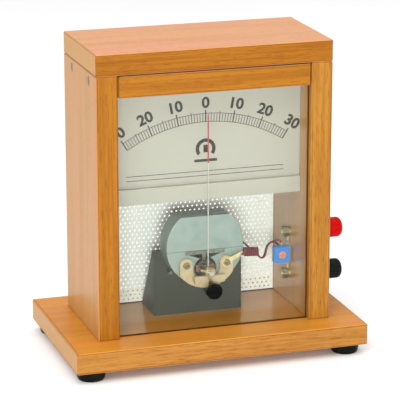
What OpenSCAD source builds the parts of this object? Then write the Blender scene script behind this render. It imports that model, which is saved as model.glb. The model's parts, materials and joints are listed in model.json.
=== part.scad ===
// Moving-coil demonstration galvanometer in a wooden case.
// X to the right, Y to the back, Z up; the origin is the middle of the
// footprint, on the surface that the feet stand on.

/* [Case] */
// Width of the base board
base_w = 250; // [232:1:320]
// Depth of the base board
base_d = 150; // [136:1:220]
// Thickness of the base board
base_t = 18; // [15:0.5:26]
// Outer width of the case
case_w = 200; // [196:1:260]
// Depth of the case
case_d = 100; // [96:1:130]
// Height of the side panels
side_h = 220; // [214:1:280]
// Thickness of the side panels
side_t = 18; // [14:0.5:18]
// Thickness of the top board
top_t = 18; // [12:0.5:26]
// Thickness of the inner top board
rail_t = 18; // [15:0.5:22]
// Gap between the inner top board and each side panel
rail_gap = 1; // [0.3:0.1:2]
// Gap between the inner top board and the top board
rail_drop = 0.6; // [0.3:0.1:1.5]
// Bevel along the edges of the boards
board_bevel = 0.8; // [0.3:0.1:2]

/* [Feet] */
// Diameter of a rubber foot
foot_d = 24; // [18:0.5:30]
// Height of a rubber foot
foot_h = 8.5; // [6:0.5:14]
// Foot centre to the side edge of the base
foot_in_x = 15; // [13:0.5:30]
// Foot centre to the front and back edges of the base
foot_in_y = 14; // [13:0.5:30]

/* [Glass and sheets] */
// Thickness of the front glass
glass_t = 3; // [2:0.5:4]
// Glass face behind the front of the case
glass_set = 6.9; // [5:0.1:8]
// Depth of the grooves in the boards
groove_d = 3; // [2:0.25:5]
// Play beside a sheet in its groove
groove_play = 0.5; // [0.2:0.1:0.8]
// Thickness of the scale plate
plate_t = 1; // [0.8:0.1:1.2]
// Scale plate face behind the front of the case
plate_set = 27.5; // [25:0.5:30]
// Lower edge of the scale plate above the base board
plate_low = 105.5; // [92:0.5:112]
// Height of the lip under the scale plate
lip_h = 12.5; // [8:0.5:16]
// How far the lip stands in front of the scale plate
lip_out = 3.5; // [2.5:0.25:4.5]
// Thickness of the perforated back sheet
back_t = 1; // [0.8:0.1:1.5]
// Back sheet face behind the front of the case
back_set = 89.5; // [84:0.5:90]
// Width of the folded edges of the back sheet
back_fold = 7.5; // [5:0.5:9]

/* [Magnet] */
// Pivot axis above the base board
axis_h = 45; // [43:0.5:50]
// Diameter of the magnet drum
drum_d = 67; // [60:0.5:74]
// Thickness of the magnet drum
drum_t = 20; // [18:0.5:24]
// Drum face behind the front of the case
drum_set = 28.6; // [28:0.2:34]
// Drum centre above the pivot axis
drum_rise = 19; // [17:0.5:20]
// Flat top of the drum above its centre
drum_flat = 26; // [22:0.5:28]
// Joint between magnet and pole pieces above the pivot axis
seam_up = 15.4; // [14.6:0.1:18]
// Width of the core bar in the joint
bar_w = 34.6; // [28:0.2:38]
// Height of the core bar
bar_h = 3.3; // [2.5:0.1:3.8]
// Radius of the bore between the pole pieces
bore_r = 9.6; // [9.6:0.1:11]
// Gap between the lower ends of the pole pieces
pole_gap = 8; // [5:0.5:10]
// Radius of the iron core
core_r = 6.8; // [5:0.1:6.8]
// How far the core ends lie inside the drum faces
core_inset = 1; // [0.8:0.1:2]

/* [Bracket] */
// Width of the magnet bracket
bracket_w = 77; // [66:1:84]
// Height of the magnet bracket
bracket_h = 56.5; // [56:0.5:59]
// Thickness of the bracket's upright plate
bracket_t = 4; // [3.5:0.1:4.2]
// Depth of the bracket's foot
bracket_d = 35; // [30:0.5:38]
// Wall of the bracket's gussets and foot
gusset_t = 3; // [2:0.25:5]

/* [Coil and pointer] */
// Half width inside the coil frame
coil_in = 7.2; // [7.2:0.05:7.3]
// Gap between the core ends and the coil frame
coil_end_gap = 1.5; // [1:0.1:1.8]
// Thickness of the coil frame
former_t = 0.6; // [0.4:0.05:0.6]
// Height of the coil frame
former_h = 5; // [3.5:0.1:5]
// Thickness of the winding
winding_t = 0.9; // [0.5:0.05:0.9]
// Height of the winding
winding_h = 4.2; // [3:0.1:4.4]
// Length of the pointer from the pivot axis
pointer_len = 134.3; // [120:0.5:135]
// Length of the coloured tip
tip_len = 42; // [20:1:60]
// Diameter of the pointer tube
pointer_d = 1; // [0.8:0.05:1.3]
// Number of turns of a hairspring
spring_turns = 5; // [3:1:6]
// Outer radius of a hairspring
spring_r = 6.6; // [5.5:0.1:6.8]

/* [Zero adjuster] */
// Diameter of the zero knob
knob_d = 13.4; // [11:0.2:16]
// Thickness of the zero knob
knob_t = 4.2; // [3:0.1:4.6]
// Zero knob axis below the pivot axis
knob_drop = 13; // [13:0.1:14.5]
// Throw of the crank pin
crank_throw = 1.4; // [1:0.1:1.6]
// Radius of the crank pin
pin_r = 0.6; // [0.4:0.05:0.7]
// Play of the crank pin in the fork
pin_play = 0.15; // [0.1:0.05:0.3]

/* [Terminals] */
// Distance between the two terminals
post_pitch = 37; // [30:0.5:42]
// Diameter of the plug socket in a post
socket_d = 4; // [4:0.01:4.1]
// Depth of the plug socket
socket_depth = 17; // [14:0.5:17]
// Diameter of a post
post_d = 6; // [6:0.1:7]
// Diameter of a cap
cap_d = 17; // [15:0.2:20]
// Outer end of a cap beyond the side panel
cap_reach = 28.5; // [25:0.5:28.5]
// Thickness of a collar
collar_t = 4; // [3:0.25:5]

/* [Fits] */
// Play of a turning piece on its pin
run_fit = 0.05; // [0.03:0.01:0.09]
// Play of a screw or dowel in its hole
screw_fit = 0.03; // [0.02:0.01:0.08]
// Gap between faces that pass each other
face_gap = 0.3; // [0.2:0.05:0.4]

/* [Hidden] */
$fn = 64;

// Levels and planes of the case
base_top = foot_h + base_t;
side_top = base_top + side_h;
rail_top = side_top - rail_drop;
rail_low = rail_top - rail_t;
front_y = -case_d / 2;
in_x = case_w / 2 - side_t;
glass_y = front_y + glass_set;
plate_y = front_y + plate_set;
back_y = front_y + back_set;
sheet_in = groove_d - groove_play;
plate_knee = base_top + plate_low + lip_h;

// Levels and planes of the movement
axis_z = base_top + axis_h;
drum_r = drum_d / 2;
drum_y0 = front_y + drum_set;
drum_y1 = drum_y0 + drum_t;
core_y0 = drum_y0 + core_inset;
core_y1 = drum_y1 - core_inset;
coil_y0 = core_y0 - coil_end_gap;
coil_y1 = core_y1 + coil_end_gap;
coil_wall = former_t + winding_t;
coil_front = coil_y0 - coil_wall;
coil_back = coil_y1 + coil_wall;
plate_back_y = drum_y1 + bracket_t;

// Front bridge: the plate on the drum, the crossbar in front of the pointer
bridge_t = 4;
bridge_y = drum_y0 - bridge_t;
bridge_foot_x = 17.5;
bridge_foot_z = 4.5;
bridge_foot_r = 5.5;
bridge_in_r = bridge_foot_x - bridge_foot_r;
bridge_out_r = 28;
bridge_low = 16;
crossbar_t = 3;
crossbar_back = bridge_y - 6.6;
crossbar_y = crossbar_back - crossbar_t;
crossbar_half = 13;
crossbar_low = -9;
crossbar_h = 6;
boss_r = 3;
boss_y = crossbar_y - 1.5;
jewel_r = 1.5;
jewel_front = boss_y - 2.4;

// Stations of the moving parts along the pivot axis
shaft_r = 0.75;
spring_w = 0.6;
spring_y = bridge_y - 1.1;
pointer_y = bridge_y - 4.1;
hub_r = 2.4;
hub_t = 1.6;
arm_r = 0.5;
arm_len = 6;
tail_len = 9.8;
finger_r = 8.2;
finger_half = 0.6;
finger_angle = 160;
lever_t = 0.9;
lever_y = crossbar_y - face_gap;
lever_ring = 4.4;
pivot_tip = 0.8;
rear_spring_y = coil_back + 4.1;
rear_web_y = coil_back + 8;
rear_web_t = 3;
rear_foot_x = 16.5;

// Zero adjuster
knob_z = axis_z - knob_drop;
bush_r = 3.1;
bush_flange_r = 4.8;
bush_flange_t = 1;
bush_nut_t = 1.4;
knob_shaft_r = 1.6;
knob_y = glass_y - bush_flange_t - face_gap;
crank_y = glass_y + glass_t + bush_nut_t + face_gap;
crank_t = 0.7;
crank_r = 2.8;

// Fasteners
foot_recess = 3;
wood_screw_r = 1.9;
wood_head_r = 4;
rail_bite = 20;
base_bite = 22;
dowel_r = 4;
dowel_low = 11.5;
dowel_high = 7.5;
side_screw_z = side_top - 7;
side_screw_ys = [-case_d * 0.28, case_d * 0.24];
base_screw_ys = [-case_d * 0.3, case_d * 0.3];
dowel_ys = [-case_d * 0.38, case_d * 0.38];
panel_screw_zs = [base_top + 30, side_top - 30];
panel_screw_y = back_y + back_t + 3.5;
bracket_holes = [for (x = [-24, 24], y = [10, bracket_d - bracket_t - 7]) [x, plate_back_y + y]];
magnet_holes = [for (s = [-1, 1]) each [[s * 26, -6], [s * 25, 7]]];
magnet_screw_r = 1.5;
small_screw_r = 1.25;

// Terminals
post_zs = [axis_z + post_pitch / 2, axis_z - post_pitch / 2];
wall_x = case_w / 2;
post_r = post_d / 2;
stud_r = 2;
stud_end = in_x - 6.5;
flange_r = 4.5;
flange_sink = 1;
washer_t = 0.8;
cap_start = wall_x + collar_t + 0.6;
cap_end = wall_x + cap_reach;
post_end = cap_end - 1.5;
insert_r = 5.2;
insert_len = 6;
lug_t = 0.6;
lug_x = in_x - washer_t - lug_t;
nut_r = 4.8;
nut_t = 4.6;

// Trimmer
trim_size = 14;
trim_t = 6;
trim_x = in_x - 8.5;
trim_y = -7;
trim_rotor_r = 3.2;

// Leads: route points, from the lug on the bridge or the rear bridge
lead_d = 1.4;
coil_turns = 7;
coil_r = 3.3;
wound_a = [36, -16, 80.5];
wound_b = [49, -12, 78.5];
red_route_in = [[29.5, -26.8, 81.3], [31.7, -26.8, 82.3], [33.9, -25.6, 83.2],
                [35.2, -22.5, 84.2], [35.7, -19, 84.4]];
red_route_out = [[51, -10.5, 75.5], [53, -9, 72.2], [55.3, -7.5, 71], [57.5, -6.3, 73.5],
                 [59.3, -5.4, 78], [62, -4.7, 81.4], [66, -4.3, 83], [70, -4.1, 83.3],
                 [72.4, -4, 82.8], [73.4, -4, 82], [73.5, -4, 80.7]];
black_route = [[22.5, 13, 71.5], [24, 13, 76], [26, 12, 81.5], [29.5, 8.5, 86], [33.5, 3.5, 88],
               [36.8, -2, 87.2], [39.8, -6.5, 84.5], [43.5, -7.6, 81], [47.5, -6.6, 77.4],
               [51.2, -5.4, 73.8], [54.3, -4.2, 70.6], [57, -3, 69.8], [59.5, -1.5, 72.5],
               [61.5, 0, 77.5], [64.5, 1.5, 80.2], [69, 3, 80.6], [73, 4.2, 78], [75.5, 4.8, 72],
               [77, 4.2, 66.5], [78.2, 2.4, 62.8], [80, 1, 61.8]];

// ---------- shapes that repeat ----------

// Outline of a rectangle with bevelled corners
module bevelled(w, d, c = board_bevel) {
    x = w / 2;
    y = d / 2;
    polygon([[-x + c, -y], [x - c, -y], [x, -y + c], [x, y - c],
             [x - c, y], [-x + c, y], [-x, y - c], [-x, -y + c]]);
}

// Board w by d by h with bevelled edges, standing on z = 0
module board(w, d, h) {
    intersection() {
        linear_extrude(h) bevelled(w, d);
        translate([0, d / 2, h / 2]) rotate([90, 0, 0]) linear_extrude(d) bevelled(w, h);
        translate([-w / 2, 0, h / 2]) rotate([90, 0, 90]) linear_extrude(w) bevelled(d, h);
    }
}

// Cylinder along +Y from y0 to y1 about the line through x, z
module along_y(y0, y1, r, x = 0, z = 0) {
    translate([x, y0, z]) rotate([-90, 0, 0]) cylinder(h = y1 - y0, r = r);
}

// Cylinder along +X from x0 to x1 about the line through y, z
module along_x(x0, x1, r, y = 0, z = 0) {
    translate([x0, y, z]) rotate([0, 90, 0]) cylinder(h = x1 - x0, r = r);
}

// Outline in X and Z carried along Y from y0 to y1
module plate_y(y0, y1) {
    translate([0, y1, 0]) rotate([90, 0, 0]) linear_extrude(y1 - y0) children();
}

// Outline in Y and Z carried along X from x0 to x1
module plate_x(x0, x1) {
    translate([x0, 0, 0]) rotate([90, 0, 90]) linear_extrude(x1 - x0) children();
}

// Rectangle with round corners
module round_rect(w, d, r) {
    square([w - 2 * r, d], center = true);
    square([w, d - 2 * r], center = true);
    for (x = [-1, 1], y = [-1, 1]) translate([x * (w / 2 - r), y * (d / 2 - r)]) circle(r);
}

// Countersunk screw: face at z = 0, shank down
module csk_screw(len, r, head_r) {
    head_h = head_r - r;
    difference() {
        union() {
            translate([0, 0, -head_h]) cylinder(h = head_h, r1 = r, r2 = head_r);
            translate([0, 0, -len]) cylinder(h = len - head_h, r = r);
        }
        screw_slot(head_r, head_h * 0.6);
    }
}

// Hole for a countersunk screw
module csk_hole(len, r, head_r) {
    head_h = head_r - r;
    translate([0, 0, -head_h]) cylinder(h = head_h, r1 = r + screw_fit, r2 = head_r + screw_fit);
    translate([0, 0, -len - 0.5]) cylinder(h = len, r = r + screw_fit);
    cylinder(h = 1, r = head_r + screw_fit);
}

// Pan-head screw: head on z = 0, shank down
module pan_screw(len, r, head_r, head_h) {
    difference() {
        cylinder(h = head_h, r = head_r);
        translate([0, 0, head_h]) screw_slot(head_r, head_h * 0.5);
    }
    translate([0, 0, -len]) cylinder(h = len, r = r);
}

// Slot cut into a screw head whose face is at z = 0
module screw_slot(head_r, depth) {
    translate([0, 0, -depth / 2]) cube([head_r * 3, head_r * 0.3, depth + 0.02], center = true);
}

// Hexagon across corners 2r
module hexagon(r) {
    circle(r, $fn = 6);
}

// ---------- case ----------

module base_board() color("peru") {
    difference() {
        translate([0, 0, foot_h]) board(base_w, base_d, base_t);
        glass_groove(base_top - groove_d, 2 * groove_d);
        foot_places(1) cylinder(h = base_t - 2, r = wood_screw_r + screw_fit);
        for (s = [-1, 1], y = base_screw_ys)
            translate([s * (in_x + side_t / 2), y, foot_h]) rotate([180, 0, 0])
                csk_hole(base_t, wood_screw_r, wood_head_r);
        for (p = bracket_holes)
            translate([p[0], p[1], base_top - 10]) cylinder(h = 11, r = wood_screw_r + screw_fit);
    }
}

// Groove that holds the glass, h high from z, through to both side grooves
module glass_groove(z, h) {
    translate([-in_x - groove_d, glass_y - groove_play, z])
        cube([2 * (in_x + groove_d), glass_t + 2 * groove_play, h]);
}

// Places a child under each foot's centre, its base at the foot's top less drop
module foot_places(drop = 0) {
    for (x = [-1, 1], y = [-1, 1])
        translate([x * (base_w / 2 - foot_in_x), y * (base_d / 2 - foot_in_y), foot_h - drop])
            children();
}

// Side panel on the right; the left one is its mirror image without terminals
module side_panel() {
    difference() {
        translate([in_x + side_t / 2, 0, base_top]) board(side_t, case_d, side_h);
        glass_groove(base_top - 1, rail_low - base_top + groove_d + 1);
        translate([in_x - 1, plate_y - groove_play, plate_knee + 2 * plate_t])
            cube([groove_d + 1, plate_t + 2 * groove_play, rail_low - plate_knee - 2 * plate_t]);
        for (y = side_screw_ys)
            translate([wall_x, y, side_screw_z]) rotate([0, 90, 0])
                csk_hole(side_t + 1, wood_screw_r, wood_head_r);
        for (y = base_screw_ys)
            translate([in_x + side_t / 2, y, base_top - 1])
                cylinder(h = base_bite + 2, r = wood_screw_r + screw_fit);
        for (y = dowel_ys)
            translate([in_x + side_t / 2, y, side_top - dowel_low - 0.5])
                cylinder(h = dowel_low + 1, r = dowel_r + screw_fit);
        for (z = panel_screw_zs)
            along_x(in_x - 1, in_x + 9, small_screw_r + screw_fit, panel_screw_y, z);
    }
}

module left_side_panel() color("burlywood") {
    mirror([1, 0, 0]) side_panel();
}

module right_side_panel() color("burlywood") {
    difference() {
        side_panel();
        for (z = post_zs) along_x(in_x - 1, wall_x + 1, stud_r + 0.5, 0, z);
    }
}

module top_board() color("navajowhite") {
    difference() {
        translate([0, 0, side_top]) board(case_w, case_d, top_t);
        for (s = [-1, 1], y = dowel_ys)
            translate([s * (in_x + side_t / 2), y, side_top - 1])
                cylinder(h = dowel_high + 1.5, r = dowel_r + screw_fit);
    }
}

module inner_top_board() color("peru") {
    rail_d = back_set - 0.3;
    hole_half = rail_bite / 2 + 2;
    difference() {
        translate([0, front_y + rail_d / 2, rail_low]) board(2 * (in_x - rail_gap), rail_d, rail_t);
        translate([0, 0, rail_low - 1]) glass_groove(0, groove_d + 1);
        for (s = [-1, 1], y = side_screw_ys) {
            x = s * (in_x - hole_half);
            along_x(x - hole_half, x + hole_half, wood_screw_r + screw_fit, y, side_screw_z);
        }
    }
}

module top_dowels() color("tan") {
    for (s = [-1, 1], y = dowel_ys)
        translate([s * (in_x + side_t / 2), y, side_top - dowel_low])
            cylinder(h = dowel_low + dowel_high, r = dowel_r);
}

module side_screws() color("darkgoldenrod") {
    for (s = [0, 1]) mirror([s, 0, 0])
        for (y = side_screw_ys)
            translate([wall_x, y, side_screw_z]) rotate([0, 90, 0])
                csk_screw(side_t + rail_bite, wood_screw_r, wood_head_r);
}

module base_screws() color("darkgoldenrod") {
    for (s = [-1, 1], y = base_screw_ys)
        translate([s * (in_x + side_t / 2), y, foot_h]) rotate([180, 0, 0])
            csk_screw(base_t + base_bite, wood_screw_r, wood_head_r);
}

module rubber_feet() color("#202020") {
    recess_r = 4.6;
    foot_places(foot_h) difference() {
        rotate_extrude() polygon([[0, 0], [foot_d / 2 - 2, 0], [foot_d / 2 - 1, 0.4],
                                  [foot_d / 2, foot_h - 1], [foot_d / 2, foot_h], [0, foot_h]]);
        translate([0, 0, -1]) cylinder(h = foot_recess + 1, r = recess_r);
        cylinder(h = foot_h + 1, r = wood_screw_r + screw_fit);
    }
}

module foot_screws() color("silver") {
    foot_places(foot_h - foot_recess) rotate([180, 0, 0])
        pan_screw(foot_h - foot_recess + base_t - 4, wood_screw_r, 3.8, 2);
}

module front_glass() color("lightcyan", 0.4) {
    difference() {
        translate([-in_x - sheet_in, glass_y, base_top - groove_d])
            cube([2 * (in_x + sheet_in), glass_t, rail_low - base_top + groove_d + sheet_in]);
        along_y(glass_y - 1, glass_y + glass_t + 1, bush_r + 0.1, 0, knob_z);
    }
}

// Sheet with its lower strip set forward, held in the grooves of the side panels
module scale_plate() color("gainsboro") {
    low = base_top + plate_low;
    step_y = plate_y - lip_out;
    side_play = 0.3;
    plate_x(-in_x + side_play, in_x - side_play)
        polygon([[step_y, low], [step_y, plate_knee + plate_t], [plate_y, plate_knee + plate_t],
                 [plate_y, plate_knee + 2 * plate_t], [plate_y + plate_t, plate_knee + 2 * plate_t],
                 [plate_y + plate_t, plate_knee], [step_y + plate_t, plate_knee], [step_y + plate_t, low]]);
    translate([-in_x - sheet_in, plate_y, plate_knee + 2 * plate_t])
        cube([2 * (in_x + sheet_in), plate_t, rail_low - plate_knee - 2 * plate_t - face_gap]);
}

// Perforated sheet with folded edges; the holes are left out of this solid
module back_panel() color("white") {
    half = in_x - face_gap;
    difference() {
        translate([0, 0, base_top]) linear_extrude(side_top - face_gap - base_top)
            polygon([[-half, back_y], [half, back_y], [half, back_y + back_fold],
                     [half - back_t, back_y + back_fold], [half - back_t, back_y + back_t],
                     [-half + back_t, back_y + back_t], [-half + back_t, back_y + back_fold],
                     [-half, back_y + back_fold]]);
        for (z = panel_screw_zs)
            along_x(-in_x - 1, in_x + 1, small_screw_r + screw_fit, panel_screw_y, z);
    }
}

module back_panel_screws() color("silver") {
    for (s = [0, 1]) mirror([s, 0, 0])
        for (z = panel_screw_zs)
            translate([in_x - face_gap - back_t, panel_screw_y, z]) rotate([0, -90, 0])
                pan_screw(9, small_screw_r, 2.6, 1.4);
}

// ---------- magnet ----------

module magnet_bracket() color("darkslategray") {
    half = bracket_w / 2;
    top = base_top + bracket_h;
    foot_back = drum_y1 + bracket_d;
    difference() {
        union() {
            plate_y(drum_y1, plate_back_y)
                polygon([[-half, base_top], [half, base_top], [half, top], [-half, top]]);
            for (s = [0, 1]) mirror([s, 0, 0])
                plate_x(half - gusset_t, half)
                    polygon([[drum_y1, base_top], [foot_back, base_top],
                             [foot_back, base_top + gusset_t], [plate_back_y + 1, top],
                             [drum_y1, top]]);
            translate([-half, drum_y1, base_top]) cube([bracket_w, bracket_d, gusset_t]);
        }
        along_y(drum_y1 - 1, plate_back_y + 1, bore_r + 0.4, 0, axis_z);
        for (p = magnet_holes)
            along_y(drum_y1 - 1, plate_back_y + 1, magnet_screw_r + screw_fit, p[0], axis_z + p[1]);
        for (s = [-1, 1])
            along_y(drum_y1 + 0.5, plate_back_y + 1, small_screw_r + screw_fit, s * rear_foot_x, axis_z);
        for (p = bracket_holes)
            translate([p[0], p[1], base_top - 1]) cylinder(h = gusset_t + 2, r = wood_screw_r + screw_fit);
    }
}

module bracket_screws() color("silver") {
    for (p = bracket_holes)
        translate([p[0], p[1], base_top + gusset_t]) pan_screw(gusset_t + 9, wood_screw_r, 3.6, 2.2);
}

// Outline of the drum about the pivot axis, between the levels low and high
module drum_outline(low, high) {
    intersection() {
        translate([0, drum_rise]) circle(drum_r, $fn = 96);
        translate([-drum_d, low]) square([2 * drum_d, high - low]);
    }
}

module magnet_block() color("cadetblue") {
    translate([0, 0, axis_z]) plate_y(drum_y0, drum_y1) drum_outline(seam_up, drum_rise + drum_flat);
}

// Right pole piece: the drum's lower right part, bored for the coil
module pole_piece() {
    slope_x = 14.5;
    throat_x = bore_r * 0.48;
    throat_z = bore_r * 0.88;
    difference() {
        translate([0, 0, axis_z]) plate_y(drum_y0, drum_y1) difference() {
            drum_outline(-drum_d, seam_up);
            translate([-2 * drum_d, -drum_d]) square([2 * drum_d, 2 * drum_d]);
            translate([0, -drum_d]) square([pole_gap / 2, drum_d]);
            translate([-bar_w / 2, seam_up - bar_h]) square([bar_w, drum_d]);
            polygon([[-slope_x, seam_up - bar_h], [slope_x, seam_up - bar_h],
                     [throat_x, throat_z], [throat_x, 0], [-throat_x, 0], [-throat_x, throat_z]]);
            circle(bore_r);
        }
        for (p = magnet_holes)
            along_y(drum_y1 - 8, drum_y1 + 1, magnet_screw_r + screw_fit, p[0], axis_z + p[1]);
        along_y(drum_y0 - 1, drum_y0 + 8, small_screw_r + screw_fit,
                bridge_foot_x, axis_z + bridge_foot_z);
    }
}

module pole_piece_right() color("lightslategray") {
    pole_piece();
}

module pole_piece_left() color("lightslategray") {
    mirror([1, 0, 0]) pole_piece();
}

module magnet_screws() color("silver") {
    for (p = magnet_holes)
        translate([p[0], plate_back_y, axis_z + p[1]]) rotate([-90, 0, 0])
            pan_screw(bracket_t + 7, magnet_screw_r, 2.9, 2);
}

// Brass bar under the magnet, with the web that the core hangs from
module core_bar() color("darkkhaki") {
    web_half = 1.6;
    translate([-bar_w / 2 + 0.02, drum_y0, axis_z + seam_up - bar_h])
        cube([bar_w - 0.04, drum_t, bar_h]);
    translate([-web_half, drum_y0 + 4, axis_z + core_r - 1.3])
        cube([2 * web_half, drum_t - 8, seam_up - bar_h - core_r + 1.3 + 0.5]);
}

module iron_core() color("dimgray") {
    slot_half = 1.62;
    difference() {
        along_y(core_y0, core_y1, core_r, 0, axis_z);
        translate([-slot_half, drum_y0, axis_z + core_r - 1.3]) cube([2 * slot_half, drum_t, 3]);
    }
}

// ---------- bridges and jewels ----------

// U plate on the pole pieces, with legs to the crossbar that holds the jewel
module front_bridge() color("wheat") {
    leg_x = bridge_in_r - 1.5;
    notch_z = bridge_in_r - 10.5;
    difference() {
        translate([0, 0, axis_z]) union() {
            plate_y(bridge_y, drum_y0) difference() {
                union() {
                    intersection() {
                        translate([0, bridge_out_r - bridge_low]) circle(bridge_out_r, $fn = 96);
                        translate([-bridge_foot_x - bridge_foot_r, -bridge_low])
                            square([2 * (bridge_foot_x + bridge_foot_r), bridge_low + bridge_foot_z]);
                    }
                    for (s = [-1, 1]) translate([s * bridge_foot_x, bridge_foot_z]) circle(bridge_foot_r);
                }
                translate([0, notch_z]) circle(bridge_in_r);
                translate([-bridge_in_r, notch_z]) square([2 * bridge_in_r, bridge_out_r]);
            }
            for (s = [-1, 1])
                translate([s * leg_x - 2, crossbar_y, crossbar_low])
                    cube([4, bridge_y - crossbar_y + 1, 4]);
            plate_y(crossbar_y, crossbar_back) {
                translate([-crossbar_half, crossbar_low]) square([2 * crossbar_half, crossbar_h]);
                circle(boss_r + 1);
                translate([-boss_r, -5]) square([2 * boss_r, 5]);
            }
            along_y(boss_y, crossbar_y + 1, boss_r);
        }
        along_y(boss_y - 1, crossbar_back + 1, jewel_r + screw_fit, 0, axis_z);
        for (s = [-1, 1])
            along_y(bridge_y - 1, drum_y0 + 1, small_screw_r + screw_fit,
                    s * bridge_foot_x, axis_z + bridge_foot_z);
    }
}

module bridge_screws() color("rosybrown") {
    for (s = [-1, 1])
        translate([s * bridge_foot_x, bridge_y - (s > 0 ? lug_t : 0), axis_z + bridge_foot_z])
            rotate([90, 0, 0]) pan_screw(bridge_t + 6, small_screw_r, 2.9, 1.5);
}

// Jewel screw: slotted head at y = 0, cup for the pivot at its far end
module jewel_screw(len) {
    cup = 1.2;
    rotate([-90, 0, 0]) difference() {
        union() {
            cylinder(h = 1, r = jewel_r + 0.5);
            cylinder(h = len, r = jewel_r);
        }
        translate([0, 0, len - cup]) cylinder(h = cup + 0.01, r1 = 0.25, r2 = 1);
        translate([0, 0, 0.25]) cube([6, 0.6, 0.52], center = true);
    }
}

module front_jewel_screw() color("whitesmoke") {
    translate([0, jewel_front, axis_z]) jewel_screw(crossbar_back + 0.5 - jewel_front);
}

module front_locknut() color("darkkhaki") {
    translate([0, 0, axis_z]) plate_y(boss_y - 1.2, boss_y) difference() {
        hexagon(3.8);
        circle(jewel_r + screw_fit);
    }
}

// Bar across the hole in the bracket, on two feet
module rear_bridge() color("wheat") {
    foot = 3.5;
    bar_h = 8;
    stud_x = spring_r + 1.2;
    difference() {
        translate([0, 0, axis_z]) union() {
            plate_y(rear_web_y, rear_web_y + rear_web_t) round_rect(2 * (rear_foot_x + foot), bar_h, 2);
            for (s = [-1, 1])
                plate_y(plate_back_y, rear_web_y + 1)
                    translate([s * rear_foot_x, 0]) round_rect(2 * foot, bar_h, 1);
            translate([-stud_x - 0.6, rear_spring_y - spring_w, -0.6])
                cube([1.2, rear_web_y - rear_spring_y + spring_w + 1, 1.2]);
        }
        along_y(rear_web_y - 1, rear_web_y + rear_web_t + 1, jewel_r + screw_fit, 0, axis_z);
        for (s = [-1, 1])
            along_y(plate_back_y - 1, rear_web_y + rear_web_t + 1, small_screw_r + screw_fit,
                    s * rear_foot_x, axis_z);
    }
}

module rear_bridge_screws() color("silver") {
    len = rear_web_y + rear_web_t - plate_back_y + 2.8;
    for (s = [-1, 1])
        translate([s * rear_foot_x, rear_web_y + rear_web_t + (s > 0 ? lug_t : 0), axis_z])
            rotate([-90, 0, 0]) pan_screw(len, small_screw_r, 2.6, 1.5);
}

module rear_jewel_screw() color("whitesmoke") {
    translate([0, rear_web_y + rear_web_t + 1.6, axis_z]) rotate([0, 0, 180])
        jewel_screw(rear_web_t + 2.1);
}

// ---------- moving coil ----------

// Rectangular ring about the core: inner half width, inner y limits, wall and height
module coil_ring(grow, wall, h) {
    w = 2 * (coil_in + grow);
    d = coil_y1 - coil_y0 + 2 * grow;
    translate([0, (coil_y0 + coil_y1) / 2, axis_z - h / 2]) linear_extrude(h) difference() {
        round_rect(w + 2 * wall, d + 2 * wall, 0.4 + grow + wall);
        round_rect(w, d, 0.4 + grow);
    }
}

module coil_former() color("lightgray") {
    coil_ring(0, former_t, former_h);
}

module coil_winding() color("sienna") {
    coil_ring(former_t, winding_t, winding_h);
}

// Shaft along -Y from the coil: flange at 0, collet, then pivot point at len
module shaft(len, collet_at) {
    along_y(0, 0.5, 2.3);
    along_y(0, len - pivot_tip, shaft_r);
    along_y(collet_at - 0.5, collet_at + 0.5, 1.9);
    translate([0, len - pivot_tip, 0]) rotate([-90, 0, 0]) cylinder(h = pivot_tip, r1 = 0.35, r2 = 0.06);
}

module front_shaft() color("silver") {
    translate([0, coil_front, axis_z]) rotate([0, 0, 180])
        shaft(coil_front - crossbar_back + 0.15, coil_front - spring_y);
}

module rear_shaft() color("silver") {
    translate([0, coil_back, axis_z]) shaft(rear_web_y - coil_back + 0.15, rear_spring_y - coil_back);
}

// Hub with the pointer tube, the tail and the two cross arms
module pointer() color("gainsboro") {
    difference() {
        translate([0, pointer_y, axis_z]) union() {
            along_y(-hub_t / 2, hub_t / 2, hub_r);
            cylinder(h = pointer_len - tip_len, d = pointer_d);
            translate([0, 0, -tail_len]) cylinder(h = tail_len, r = arm_r);
            along_x(-arm_len, arm_len, arm_r);
        }
        along_y(pointer_y - 2, pointer_y + 2, shaft_r, 0, axis_z);
    }
}

module pointer_tip() color("crimson") {
    root = axis_z + pointer_len - tip_len;
    tip = axis_z + pointer_len;
    plate_y(pointer_y - 0.15, pointer_y + 0.15)
        polygon([[-0.5, root], [0.5, root], [0.45, tip - 3], [0.1, tip], [-0.1, tip], [-0.45, tip - 3]]);
}

module balance_weights() color("peru") {
    side_x = arm_len - 1.5;
    for (s = [-1, 1]) translate([0, pointer_y, axis_z]) difference() {
        along_x(s * side_x - 0.9, s * side_x + 0.9, 1.6);
        along_x(-arm_len - 1, arm_len + 1, arm_r);
    }
    translate([0, pointer_y, axis_z - tail_len + 0.2]) difference() {
        cylinder(h = 4.4, r = 2.2);
        translate([0, 0, -1]) cylinder(h = 7, r = arm_r);
    }
}

// Flat spiral strip from the collet out to radius spring_r, ending at angle turn
module hairspring(turn) {
    inner = 2.3;
    strip = 0.16;
    steps = 20;
    n = spring_turns * steps;
    function at(i, side) = let (r = inner + (spring_r - inner) * i / n + side * strip / 2,
                                a = turn + 360 * i / steps) [r * cos(a), r * sin(a)];
    linear_extrude(spring_w)
        polygon(concat([for (i = [0 : n]) at(i, -1)], [for (i = [n : -1 : 0]) at(i, 1)]));
}

// The front spring ends on the lever's finger
module front_hairspring() color("goldenrod") {
    translate([0, spring_y + spring_w / 2, axis_z]) rotate([90, 0, 0]) {
        hairspring(finger_angle);
        rotate(finger_angle) translate([spring_r - 0.1, -0.3, 0])
            cube([finger_r - finger_half - spring_r + 0.1, 0.6, spring_w]);
    }
}

module rear_hairspring() color("goldenrod") {
    translate([0, rear_spring_y + spring_w / 2, axis_z]) rotate([90, 0, 0]) {
        hairspring(180);
        rotate(180) translate([spring_r - 0.1, -0.3, 0]) cube([0.7, 0.6, spring_w]);
    }
}

// ---------- zero adjuster ----------

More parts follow.
